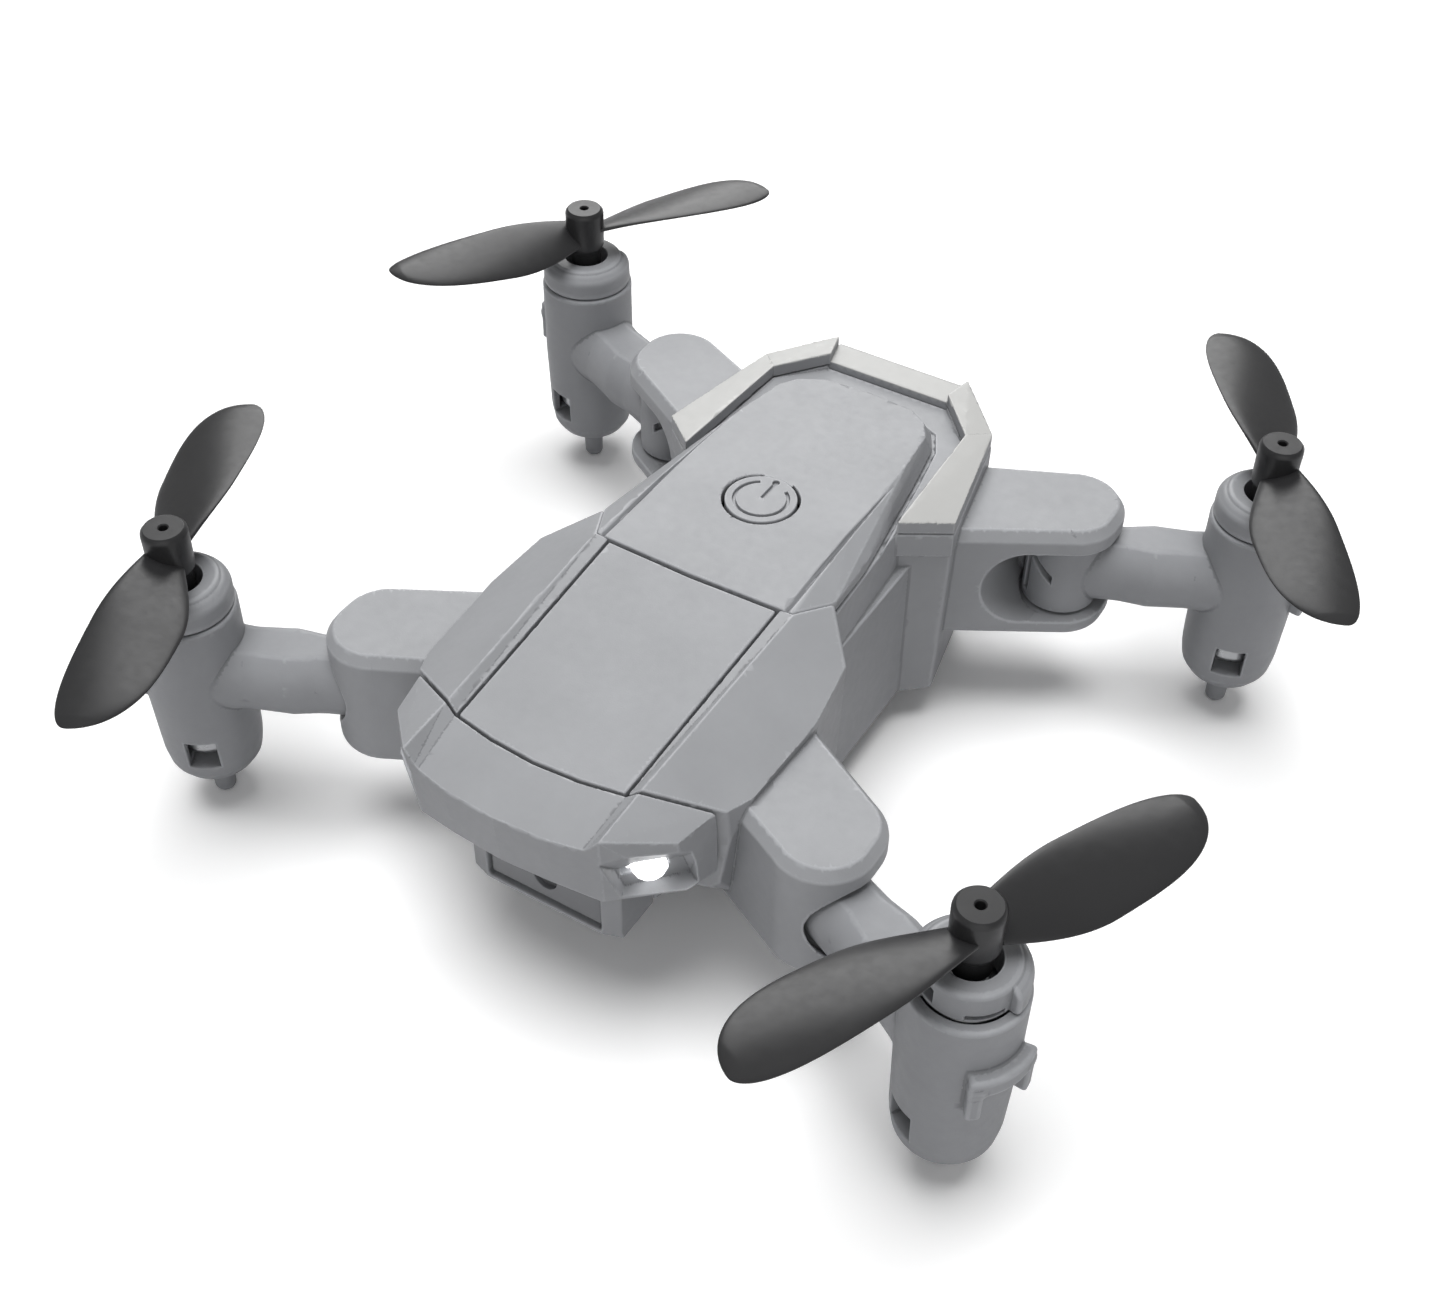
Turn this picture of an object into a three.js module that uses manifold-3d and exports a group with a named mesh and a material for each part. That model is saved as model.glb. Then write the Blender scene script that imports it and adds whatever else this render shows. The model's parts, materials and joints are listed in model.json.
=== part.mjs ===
// Mini palm drone: a folding quadcopter that stands on four small feet.
// Millimetres. +Z is up, the nose points along -Y and the drone's left side is +X.
// Every dimension below is measured from the point of the floor midway between the four
// motors. The origin is on the floor too, under the middle of the drone's overall box.

import * as THREE from 'three';
import { ConvexGeometry } from 'three/addons/geometries/ConvexGeometry.js';
import { mergeVertices } from 'three/addons/utils/BufferGeometryUtils.js';
import Module from 'manifold-3d';

const wasm = await Module();
wasm.setup();

// ---------------------------------------------------------------- driving dimensions

const GAP = 0.3; // clearance between neighbouring pieces
const SEAM = 0.28; // width of the open seams between outer covers
const MIDDLE_Y = 0.87; // how far behind the origin the point midway between the motors is

// arm hinges and motors
const MOTOR_X = 38.2;
const MOTOR_Y = 31.3;
const PIVOT_X = 22.3;
const PIVOT_Y = 24;
const ARM_LENGTH = Math.hypot(MOTOR_X - PIVOT_X, MOTOR_Y - PIVOT_Y);
const ARM_ANGLE = Math.atan2(MOTOR_Y - PIVOT_Y, MOTOR_X - PIVOT_X);
const FOLD_ANGLE = Math.PI / 2 + ARM_ANGLE; // from open to lying along the body
const ARM_Z = 16.3; // height of the arm's centre line

const KNUCKLE_RADIUS = 3.6;
const KNUCKLE_HALF_HEIGHT = 3.9;
const ARM_HALF_WIDTH = 3.2;
const ARM_HALF_HEIGHT = 3.8;
const ARM_ROOM = 0.4; // clearance between a folding arm and its shoulder
const INBOARD_ROOM = 1.3; // extra room beside a folded arm, where it widens
const PIN_RADIUS = 1;
const PIN_ROOF = 0.9; // of the shoulder's material above the pin's hole
const PIN_CLEARANCE = 0.1; // all round the pin, where the arm turns on it

// motor pods
const POD_RADIUS = 4.8;
const POD_LEDGE_Z = 23.4;
const POD_BASE_Z = 3.9;
const BORE_RADIUS = 3.8;
const CAP_COLLAR_RADIUS = 4.65;
const BORE_FLOOR_Z = 7.2;
const MOTOR_RADIUS = 3.5;
const CAP_RADIUS = 3.8;
const CAP_TOP_Z = 26.4;
const CAP_HOLE_RADIUS = 2.3;
const SHAFT_RADIUS = 0.5;
const FOOT_RADIUS = 1;

// propellers
const HUB_TOP_Z = 32;
const HUB_BASE_Z = 25.2;
const HUB_RADIUS = 1.95;
const BLADE_RADIUS = 21.5;
const BLADE_ROOT = 1.2;
const BLADE_CHORD = 7.4;
const ROOT_CHORD = 3.6;
const BLADE_THICKNESS = 0.75;
const BLADE_Z = 29.15;
const BLADE_RISE = 0.25; // from the hub to the tip
const ROOT_PITCH = 24; // degrees
const TWIST = 26; // degrees, taken off the pitch by the tip

// shoulders, which hold the arm hinges
const SHOULDER_RADIUS = 4.6;
const SHOULDER_TOP_Z = 23;
const SHOULDER_BOTTOM_Z = 10.5;
const SHOULDER_CHAMFER = 0.75; // inwards
const SHOULDER_CHAMFER_DROP = 1.05;

// body
const BELLY_Z = 4.2;
const WAIST_HALF_WIDTH = 12.3;
const LEDGE_Z = 20.8;
const TRAY_Z = 25.2;
const TRIM_THICKNESS = 1.3;
const TRIM_GAP = 0.15;
const PANEL_THICKNESS = 1.2;
const WALL = 1.4;

// camera housing under the nose
const CHIN_HALF_WIDTH = 7.8;
const CHIN_FRONT_Y = -31.8;
const CHIN_BACK_Y = -26.6;
const CHIN_BOTTOM_Z = 7.4;
const CHIN_TOP_Z = 16.7;
const LENS_Z = 12.3;

// power button
const BUTTON_Y = 3.6;
const BUTTON_RADIUS = 3.3;
const BUTTON_NECK = 1.5; // half the width of the tongue towards the tail
const DECK_TOP_Z = 28;

// battery drawer
const BATTERY_HALF_WIDTH = 5.6;
const BATTERY_BOTTOM_Z = 8.2;
const BATTERY_TOP_Z = 18.2;
const BATTERY_FRONT_Y = -8;
const TAIL_Y = 31.5;

// Each arm: its name, the side of the body (x), the end of the body (y) and the
// direction its propeller blades point in at rest.
const ARMS = [
  { name: 'front_left', x: 1, y: -1, blades: 65 },
  { name: 'front_right', x: -1, y: -1, blades: 114 },
  { name: 'rear_left', x: 1, y: 1, blades: 123 },
  { name: 'rear_right', x: -1, y: 1, blades: 57 },
];

// ---------------------------------------------------------------- finishes

const finish = (color, roughness, metalness = 0) =>
  new THREE.MeshStandardMaterial({ color, roughness, metalness });

const bodyGrey = finish(0x8f9195, 0.5);
const armGrey = finish(0x84868a, 0.5);
const silverTrim = finish(0xcbcbc9, 0.35, 0.2);
const glossBlack = finish(0x3a3a3c, 0.3);
const darkGlass = finish(0x4a4c50, 0.15);
const clearLens = finish(0xf4f6f8, 0.1);
const steel = finish(0xb8babd, 0.3, 1);
const boardGreen = finish(0x1f5a3a, 0.6);
const packBlack = finish(0x2c2d2f, 0.6);
const softBlack = finish(0x1c1c1e, 0.7);

// ---------------------------------------------------------------- solid helpers

const radians = THREE.MathUtils.degToRad;
const v3 = (x, y, z) => new THREE.Vector3(x, y, z);

// The closed solid that a geometry bounds, whichever way its faces were wound.
function solidOf(geometry) {
  const flat = geometry.index ? geometry.toNonIndexed() : geometry;
  const bare = new THREE.BufferGeometry();
  bare.setAttribute('position', flat.getAttribute('position'));
  const merged = mergeVertices(bare, 1e-4);
  const make = (triVerts) => {
    const vertProperties = merged.getAttribute('position').array;
    return new wasm.Manifold(new wasm.Mesh({ numProp: 3, vertProperties, triVerts }));
  };
  const triVerts = new Uint32Array(merged.index.array);
  const made = make(triVerts);
  return made.volume() >= 0 ? made : make(triVerts.reverse());
}

// A named mesh of a solid.
function piece(name, solid, material) {
  const { numProp, vertProperties, triVerts } = solid.getMesh();
  const count = vertProperties.length / numProp;
  const positions = new Float32Array(count * 3);
  for (let i = 0; i < count; i += 1) {
    positions.set(vertProperties.subarray(i * numProp, i * numProp + 3), i * 3);
  }
  const geometry = new THREE.BufferGeometry();
  geometry.setAttribute('position', new THREE.BufferAttribute(positions, 3));
  geometry.setIndex(new THREE.BufferAttribute(new Uint32Array(triVerts), 1));
  geometry.computeVertexNormals();
  const mesh = new THREE.Mesh(geometry, material);
  mesh.name = name;
  return mesh;
}

const join = (...solids) => solids.reduce((all, next) => all.add(next));
const cut = (solid, ...tools) => tools.reduce((left, tool) => left.subtract(tool), solid);

// Convex solid around [x, y, z] points.
const hull = (points) => solidOf(new ConvexGeometry(points.map((p) => v3(...p))));

// The points and their mirror images on the other side of the body.
const both = (points) => [...points, ...points.map(([x, y, z]) => [-x, y, z])];

const lowered = (points, depth) => points.map(([x, y, z]) => [x, y, z - depth]);
const slab = (points, depth) => hull([...points, ...lowered(points, depth)]);

function box([x0, x1], [y0, y1], [z0, z1]) {
  const geometry = new THREE.BoxGeometry(x1 - x0, y1 - y0, z1 - z0);
  geometry.translate((x0 + x1) / 2, (y0 + y1) / 2, (z0 + z1) / 2);
  return solidOf(geometry);
}

// Upright prism over a plan outline of [x, y] points.
function prism(outline, z0, z1) {
  const shape = new THREE.Shape(outline.map(([x, y]) => new THREE.Vector2(x, y)));
  const geometry = new THREE.ExtrudeGeometry(shape, { depth: z1 - z0, bevelEnabled: false });
  geometry.translate(0, 0, z0);
  return solidOf(geometry);
}

// Turned solid on the Z axis from [radius, height] points.
function turned(profile, segments = 20) {
  const points = profile.map(([r, z]) => new THREE.Vector2(r, z));
  const geometry = new THREE.LatheGeometry(points, segments);
  geometry.rotateX(Math.PI / 2);
  return geometry;
}

function cylinder(radius, z0, z1, x = 0, y = 0, segments = 20) {
  const geometry = turned([[0, z0], [radius, z0], [radius, z1], [0, z1]], segments);
  geometry.translate(x, y, 0);
  return solidOf(geometry);
}

// Plan points of an arc, in degrees.
function arc(x, y, radius, from, to, steps) {
  const points = [];
  for (let i = 0; i <= steps; i += 1) {
    const a = radians(from + ((to - from) * i) / steps);
    points.push([x + radius * Math.cos(a), y + radius * Math.sin(a)]);
  }
  return points;
}

// Closed solid through rings of points, each ring having the same number of points.
function loft(rings) {
  const size = rings[0].length;
  const positions = [];
  const triangle = (a, b, c) => positions.push(...a, ...b, ...c);
  for (let i = 0; i + 1 < rings.length; i += 1) {
    for (let j = 0; j < size; j += 1) {
      const k = (j + 1) % size;
      triangle(rings[i][j], rings[i][k], rings[i + 1][k]);
      triangle(rings[i][j], rings[i + 1][k], rings[i + 1][j]);
    }
  }
  const last = rings[rings.length - 1];
  for (let j = 1; j + 1 < size; j += 1) {
    triangle(rings[0][0], rings[0][j + 1], rings[0][j]);
    triangle(last[0], last[j], last[j + 1]);
  }
  const geometry = new THREE.BufferGeometry();
  geometry.setAttribute('position', new THREE.Float32BufferAttribute(positions, 3));
  return solidOf(geometry);
}

// The direction in the plan that an arm points in at rest.
const restAngle = ({ x, y }) => (x > 0 ? y * ARM_ANGLE : Math.PI - y * ARM_ANGLE);
// +1 where the arm folds anticlockwise, seen from above, and -1 where it folds clockwise.
const hand = ({ x, y }) => -x * y;

// ---------------------------------------------------------------- body surfaces

// The raised lines along both sides of the top, and the edge of the strip between them.
const RIDGE_NOSE = [9.34, -36.33, 25.61];
const RIDGE_SEAM = [9.36, -30.55, 26.03];
const RIDGE_DECK = [10.04, -8.13, 27.66];
const STRIP_NOSE = [7.93, -36.58, 23.99];
const STRIP_SEAM = [8.36, -30.8, 25.27];
const STRIP_DECK = [8.78, -8.14, 27.49];

// Plan of the seam between the nose cover and the rest, from the middle outwards.
const FRONT_SEAM = [
  [0, -31.7],
  [4.3, -31.45],
  [8.36, -30.8],
  [9.36, -30.55],
  [14.65, -27.53],
  [20, -24.5],
];
// Plan of the seam in front of the rear deck.
const DECK_SEAM = [[0, -8.35], [4.4, -8.3], [8.78, -8.14], [10.04, -8.13], [11.95, -4.22], [16, 4]];

// Everything between a seam, moved back by an offset, and a line across at farY.
function besideSeam(seam, farY, offset) {
  const right = seam.map(([x, y]) => [x, y + offset]);
  const left = right.slice(1).reverse().map(([x, y]) => [-x, y]);
  const reach = seam[seam.length - 1][0];
  return prism([...left, ...right, [reach, farY], [-reach, farY]], -1, 40);
}
const WELL_CLEAR = 60; // beyond the body at either end
const aheadOf = (seam, offset) => besideSeam(seam, -WELL_CLEAR, offset);
const behind = (seam, offset) => besideSeam(seam, WELL_CLEAR, offset);

// A point on the line through two points, at a given y.
function alongY([x0, y0, z0], [x1, y1, z1], y) {
  const t = (y - y0) / (y1 - y0);
  return [x0 + t * (x1 - x0), y, z0 + t * (z1 - z0)];
}

// The shallow channel between the ridges, open to the sky, from one y to another.
function stripChannel(stripA, stripB, ridgeA, ridgeB, y0, y1) {
  const sky = 6; // above the ridges
  const points = [];
  for (const y of [y0, y1]) {
    const strip = alongY(stripA, stripB, y);
    const ridge = alongY(ridgeA, ridgeB, y);
    points.push(strip, ridge, [ridge[0], y, ridge[2] + sky]);
  }
  return hull(both(points));
}
const noseChannel = () =>
  stripChannel(STRIP_NOSE, STRIP_SEAM, RIDGE_NOSE, RIDGE_SEAM, -40, -30.8);
const middleChannel = () =>
  stripChannel(STRIP_SEAM, STRIP_DECK, RIDGE_SEAM, RIDGE_DECK, -33, -6);

// ---------------------------------------------------------------- nose

const LAMP = { x: 11.75, y: -33.8, z: 20.6, yaw: radians(-42.3) };

// Box in a lamp's own frame: x points out of the lamp, y along the nose corner, z up.
function lampBox(side, [x0, x1], [y0, y1], [z0, z1]) {
  const geometry = new THREE.BoxGeometry(x1 - x0, y1 - y0, z1 - z0);
  geometry.translate((x0 + x1) / 2, (y0 + y1) / 2, (z0 + z1) / 2);
  geometry.rotateZ(LAMP.yaw);
  geometry.translate(LAMP.x, LAMP.y, LAMP.z);
  geometry.scale(side, 1, 1);
  return solidOf(geometry);
}

function noseCover() {
  const outside = hull(both([
    [0, -37.5, 25.7],
    [5, -37.2, 25.65],
    RIDGE_NOSE,
    RIDGE_SEAM,
    [9.36, -29, 26.1],
    [13.7, -31.9, 23.9],
    [14.65, -27.53, 23.98],
    [14.5, -31.6, 18.4],
    [15.1, -28, 17.6],
    [9.1, -35.5, 17.5],
    [5, -36.4, 18.2],
    [0, -36.7, 18.2],
  ]));
  const inside = hull(both([
    [0, -35.7, 22.4],
    [6.6, -34.9, 22.4],
    [7, -27, 23.6],
    [11.4, -29, 22],
    [0, -35.3, 19.4],
    [6.6, -34.2, 19.4],
    [12.4, -27, 19.4],
  ]));
  const pockets = [1, -1].map((side) => lampBox(side, [-3.2, 3], [-2.2, 2.9], [-2.1, 1.9]));
  return cut(outside, noseChannel(), behind(FRONT_SEAM, -SEAM / 2), inside, ...pockets);
}

const lampLens = (side) => lampBox(side, [-1.3, -0.6], [-1.9, 2.6], [-1.8, 1.6]);
const lampLed = (side) => lampBox(side, [-3, -1.6], [-1.3, 1.5], [-1.4, 1.3]);

function cameraHousing() {
  const outside = hull(both([
    [CHIN_HALF_WIDTH - 1.8, CHIN_FRONT_Y, CHIN_BOTTOM_Z],
    [CHIN_HALF_WIDTH - 1.8, CHIN_FRONT_Y, CHIN_TOP_Z],
    [CHIN_HALF_WIDTH, CHIN_FRONT_Y + 0.6, CHIN_BOTTOM_Z],
    [CHIN_HALF_WIDTH, CHIN_FRONT_Y + 0.6, CHIN_TOP_Z],
    [CHIN_HALF_WIDTH, -30.2, CHIN_TOP_Z],
    [CHIN_HALF_WIDTH, CHIN_BACK_Y, 12.5],
    [CHIN_HALF_WIDTH, CHIN_BACK_Y, CHIN_BOTTOM_Z],
  ]));
  const opening = box([-5.9, 5.9], [CHIN_FRONT_Y - 1, CHIN_FRONT_Y + 1.9], [8, 16]);
  const hollow = box([-4, 4], [CHIN_FRONT_Y, CHIN_BACK_Y + 1], [9, 12.4]);
  const moduleRoom = box([-3, 3], [CHIN_FRONT_Y, -27.6], [9, 14.4]);
  return cut(outside, opening, hollow, moduleRoom);
}

const cameraWindow = () => box([-5.7, 5.7], [CHIN_FRONT_Y + 0.4, CHIN_FRONT_Y + 1.5], [8.2, 15.8]);

function cameraModule() {
  const barrel = turned([[0, 0], [1.3, 0], [1.3, 0.7], [1.8, 0.7], [1.8, 1.6], [0, 1.6]], 16);
  barrel.rotateX(-Math.PI / 2);
  barrel.translate(0, CHIN_FRONT_Y + 1.9, LENS_Z);
  const block = box([-2.5, 2.5], [CHIN_FRONT_Y + 3.2, -28], [LENS_Z - 2.6, LENS_Z + 1.7]);
  return join(solidOf(barrel), block);
}

// ---------------------------------------------------------------- main shell

// One shoulder's plan: its two roots inside the body, and a round end about the pivot.
function shoulderPlan({ x, y }, inset) {
  const radius = SHOULDER_RADIUS - inset;
  const front = y < 0;
  const nearRoot = front ? [12.4, -24.17 + inset] : [10.2, 11.47 + inset];
  const farRoot = front ? [12.4, -13.2 - inset] : [10.2, 23.36 - inset];
  const ends = front ? [-112, 61] : [-59, 114];
  const round = arc(PIVOT_X, y * PIVOT_Y, radius, ...ends, 12);
  return [nearRoot, ...round, farRoot].map(([px, py]) => [x * px, py]);
}

function shoulder(arm) {
  const ring = (inset, z) => shoulderPlan(arm, inset).map(([x, y]) => [x, y, z]);
  return hull([
    ...ring(0.5, SHOULDER_BOTTOM_Z),
    ...ring(0, SHOULDER_BOTTOM_Z + 0.5),
    ...ring(0, SHOULDER_TOP_Z - SHOULDER_CHAMFER_DROP),
    ...ring(SHOULDER_CHAMFER, SHOULDER_TOP_Z),
  ]);
}

// Oval bar from the hinge outwards, the room that an arm needs in one position.
function ovalBar(arm, angle, across = 0) {
  const length = 14;
  const geometry = new THREE.CylinderGeometry(1, 1, length, 20);
  geometry.rotateZ(Math.PI / 2);
  geometry.translate(length / 2, 0, 0);
  geometry.scale(1, ARM_HALF_WIDTH + ARM_ROOM, ARM_HALF_HEIGHT + ARM_ROOM);
  geometry.translate(0, across, 0);
  geometry.rotateZ(angle);
  geometry.translate(arm.x * PIVOT_X, arm.y * PIVOT_Y, ARM_Z);
  return solidOf(geometry);
}

// The room in a shoulder that its arm sweeps from open to folded.
function armRoom(arm) {
  const open = restAngle(arm);
  const folded = -arm.y * (Math.PI / 2);
  const half = ARM_HALF_HEIGHT + ARM_ROOM;
  const pivot = [arm.x * PIVOT_X, arm.y * PIVOT_Y];
  const span = hand(arm) * FOLD_ANGLE;
  const reach = 15; // from the pivot, past the shoulder's edge
  const steps = 6;
  const outline = [pivot];
  for (let i = 0; i <= steps; i += 1) {
    const a = open + (span * i) / steps;
    outline.push([pivot[0] + reach * Math.cos(a), pivot[1] + reach * Math.sin(a)]);
  }
  const sweep = prism(outline, ARM_Z - half, ARM_Z + half);
  const well = cylinder(KNUCKLE_RADIUS + GAP, ARM_Z - half, ARM_Z + half, ...pivot);
  const inboard = ovalBar(arm, folded, hand(arm) * INBOARD_ROOM);
  return join(well, sweep, ovalBar(arm, open), ovalBar(arm, folded), inboard);
}

// A blind hole for the hinge pin, closed by a thin roof.
function pinHole(arm) {
  const top = SHOULDER_TOP_Z - PIN_ROOF;
  return cylinder(PIN_RADIUS + 0.25, SHOULDER_BOTTOM_Z - 1, top, arm.x * PIVOT_X, arm.y * PIVOT_Y, 12);
}

// The body between the nose cover and the waist.
function middleBody() {
  return hull(both([
    [9.32, -33, 25.85],
    RIDGE_DECK,
    [11.95, -4.22, 26.74],
    [13.6, -31.5, 24.1],
    [14.65, -27.53, 23.98],
    [16.1, -24.5, 23.6],
    [16.5, -15.2, 24.2],
    [15.7, -8.7, 25],
    [13, -3.6, 20],
    [12.9, -3.5, 8],
    [12.2, -3.5, BELLY_Z],
    [14.9, -29, 17.6],
    [13.8, -30.5, 17.6],
    [14.6, -24.3, 11],
    [12.4, -19, BELLY_Z],
  ]));
}

// The narrow keel that carries the camera housing.
const keel = () => hull(both([
  [CHIN_HALF_WIDTH, CHIN_BACK_Y + GAP, CHIN_BOTTOM_Z],
  [CHIN_HALF_WIDTH, CHIN_BACK_Y + GAP, 14.5],
  [CHIN_HALF_WIDTH, -18, BELLY_Z],
  [CHIN_HALF_WIDTH, -18, 19],
]));

// The narrow stretch behind the middle of the body, with a ledge along each side.
function waist() {
  const lower = box([-WAIST_HALF_WIDTH, WAIST_HALF_WIDTH], [-5, 14], [BELLY_Z, LEDGE_Z]);
  const upper = hull(both([
    [11.9, -4.6, TRAY_Z],
    [11.5, 3.2, TRAY_Z],
    [10.9, 14, TRAY_Z],
    [12.3, -4.6, LEDGE_Z - 1],
    [11.1, 14, LEDGE_Z - 1],
  ]));
  return join(lower, upper);
}

// The wide block at the tail, cut back to a narrow rear face.
function tailBlock() {
  const plan = [[11.1, 9], [12.9, 10.8], [15.3, 12.8], [12.7, 25.9], [7.2, TAIL_Y]];
  const lowTop = plan.map(([x, y]) => [x, y, TRAY_Z]);
  const base = plan.map(([x, y]) => [x - 0.5, y, BELLY_Z]);
  return hull(both([...lowTop, ...base]));
}

// The hollow for the board, the battery drawer and the wiring, closed by the belly cover.
function cavity() {
  const low = hull(both([
    [10.4, -17.5, BELLY_Z - 1],
    [10.4, 25, BELLY_Z - 1],
    [10.4, -17.5, 19],
    [10.4, 25, 19],
  ]));
  const front = hull(both([
    [6, -24.2, 8.8],
    [6, -16, 6.5],
    [6, -24.6, 13],
    [6, -28, 17.2],
    [11.2, -26, 17.6],
    [11.2, -25, 21.8],
    [11.2, -16, 21.8],
  ]));
  const ribbonPort = box([-2.5, 2.5], [-28, -23], [9.5, 12]);
  const high = hull(both([
    [9.4, -27, 18],
    [9.4, 22, 18],
    [7, -36, 20],
    [7, -36, 23],
    [7.4, -27, 24.1],
    [7.4, 22, 24.6],
  ]));
  const underDeck = box([-7.2, 7.2], [-6.5, 22], [23, 27]);
  return join(low, front, high, underDeck, ribbonPort);
}

// The pocket that the middle top panel sits in.
function panelPocket() {
  const rim = [-33, -7.6].map((y) => alongY(STRIP_SEAM, STRIP_DECK, y));
  const above = rim.map(([x, y, z]) => [x, y, z + 0.5]);
  return hull(both([...lowered(rim, PANEL_THICKNESS + GAP), ...above]));
}

// The opening under the rear deck, with a step that the deck rests on.
function deckSeat() {
  const foot = deckFoot(GAP);
  const above = foot.map(([x, y, z]) => [x, y, z + 6]);
  return hull(both([...foot, ...above])).intersect(behind(DECK_SEAM, -SEAM / 2));
}

function mainShell() {
  const middle = cut(middleBody(), aheadOf(FRONT_SEAM, SEAM / 2), middleChannel(), panelPocket());
  const collarDepth = 4; // down into the tail block
  const tail = join(tailBlock(), collar(0, collarDepth, 0));
  const outside = join(middle, keel(), waist(), tail, ...ARMS.map(shoulder));
  const rooms = ARMS.flatMap((arm) => [armRoom(arm), pinHole(arm)]);
  const panelOpening = box([-7.2, 7.2], [-32, -6], [22, 30]);
  const drawer = box(
    [-BATTERY_HALF_WIDTH - GAP, BATTERY_HALF_WIDTH + GAP],
    [20, TAIL_Y + 1],
    [BATTERY_BOTTOM_Z - GAP, BATTERY_TOP_Z + GAP],
  );
  return cut(
    outside,
    panelOpening,
    deckSeat(),
    cavity(),
    drawer,
    trimPocket(),
    ...rooms,
  );
}

// ---------------------------------------------------------------- top covers

function topPanel() {
  const rim = [-33, -6].map((y) => alongY(STRIP_SEAM, STRIP_DECK, y));
  const narrow = rim.map(([x, y, z]) => [x - SEAM, y, z]);
  return cut(
    slab(both(narrow), PANEL_THICKNESS),
    aheadOf(FRONT_SEAM, SEAM / 2),
    behind(DECK_SEAM, -SEAM / 2),
  );
}

// The foot of the rear deck, on the tray.
function deckFoot(grow) {
  const z = TRAY_Z + 0.1 - grow;
  return [
    [11.9 + grow, -9, z],
    [11.5 + grow, 3.2, z],
    [10.2 + grow, 20, z],
    [9.4 + grow, 23.4 + grow, z],
    [7.6 + grow, 25.2 + grow, z],
    [0, 25.8 + grow, z],
  ];
}

function rearDeck() {
  const foot = deckFoot(0);
  const top = [
    [9.4, -9, 27.55],
    [9.15, 3.2, DECK_TOP_Z],
    [8.8, 15, 27.7],
    [8.2, 21.3, 27.35],
    [7.1, 23, 27.3],
    [4.8, 24.2, 27.2],
    [0, 24.5, 27.15],
    [0, 3.2, DECK_TOP_Z],
  ];
  const shoulderLine = [
    RIDGE_DECK,
    [11.95, -4.22, 26.74],
    [11.3, 3.2, 26.2],
  ];
  const outside = hull(both([...foot, ...top, ...shoulderLine]));
  const inside = hull(both([
    [7.6, -12, 24],
    [7.6, -12, 26.1],
    [7.4, 3.2, 26.5],
    [7.4, 3.2, 24],
    [6.4, 21, 24],
    [6.4, 21, 25.9],
  ]));
  return cut(outside, inside, aheadOf(DECK_SEAM, SEAM / 2), buttonOutline(GAP, 0.08, 24, 30));
}

// The power button's plan, a disc with a tongue towards the tail, grown by a clearance.
function buttonOutline(grow, neckGrow, z0, z1) {
  const disc = cylinder(BUTTON_RADIUS + grow, z0, z1, 0, BUTTON_Y, 36);
  const half = BUTTON_NECK + neckGrow;
  const neck = box([-half, half], [BUTTON_Y, BUTTON_Y + BUTTON_RADIUS + 1.2 + neckGrow], [z0, z1]);
  return join(disc, neck);
}

// The power button, with a broken ring and a short bar sunk in its face.
function powerButton() {
  const top = DECK_TOP_Z - 0.03;
  const plate = buttonOutline(0, 0, top - 1.1, top);
  const stem = cylinder(1.4, 24.9, top - 1, 0, BUTTON_Y, 16);
  const ringRadius = 2.45;
  const half = 0.15; // half the width of the sunk lines
  const floor = top - 0.3;
  const wedge = [[0, BUTTON_Y], ...arc(0, BUTTON_Y, 4, 55, 122, 3)];
  const ring = cut(
    cylinder(ringRadius + half, floor, top + 1, 0, BUTTON_Y, 32),
    cylinder(ringRadius - half, top - 1, top + 1, 0, BUTTON_Y, 32),
    prism(wedge, top - 1, top + 2),
  );
  const bar = box([-half, half], [BUTTON_Y + 0.2, BUTTON_Y + 2.6], [floor, top + 1]);
  const barEnd = cylinder(2 * half, floor, top + 1, 0, BUTTON_Y + 2.6, 8);
  return cut(join(plate, stem), ring, bar, barEnd);
}

// Top outlines of the collar round the tail: one side, one corner with its raised end,
// and the bar across the back.
const COLLAR_SIDE = [
  [11.23, 8.7, 26.55],
  [15.32, 12.55, 25.6],
  [12.61, 25.92, 26.1],
  [10.59, 23.98, 26.5],
];
const COLLAR_CORNER = [
  [12.61, 25.92, 26.1],
  [10.59, 23.98, 26.5],
  [6.5, 28.4, 27],
  [7.2, 31.4, 27.1],
];
const COLLAR_BAR = [
  [-7, 28.4, 26],
  [7, 28.4, 26],
  [7.1, TAIL_Y, 26.2],
  [-7.1, TAIL_Y, 26.2],
];

// The points moved outwards in plan from their middle.
function grownPlan(points, by) {
  const middle = [0, 1].map((i) => points.reduce((sum, p) => sum + p[i], 0) / points.length);
  return points.map(([x, y, z]) => {
    const reach = Math.hypot(x - middle[0], y - middle[1]);
    return [x + (by * (x - middle[0])) / reach, y + (by * (y - middle[1])) / reach, z];
  });
}

// The collar from one height above its top outlines to a depth below them.
function collar(above, depth, grow) {
  const patches = [
    COLLAR_SIDE,
    COLLAR_CORNER,
    COLLAR_SIDE.map(([x, y, z]) => [-x, y, z]),
    COLLAR_CORNER.map(([x, y, z]) => [-x, y, z]),
    COLLAR_BAR,
  ];
  const pads = patches.map((patch) => {
    const top = lowered(grownPlan(patch, grow), -above);
    return slab(top, above + depth);
  });
  return join(...pads);
}

const tailTrim = () => collar(0, TRIM_THICKNESS, 0);

// The room in the shell for the tail trim, open to the sky.
const trimPocket = () => collar(2, TRIM_THICKNESS + TRIM_GAP, 0.25);

// ---------------------------------------------------------------- underside and inside

const SCREWS = both([[8.6, -15.2, 0], [8.6, 16, 0]]);

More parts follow.
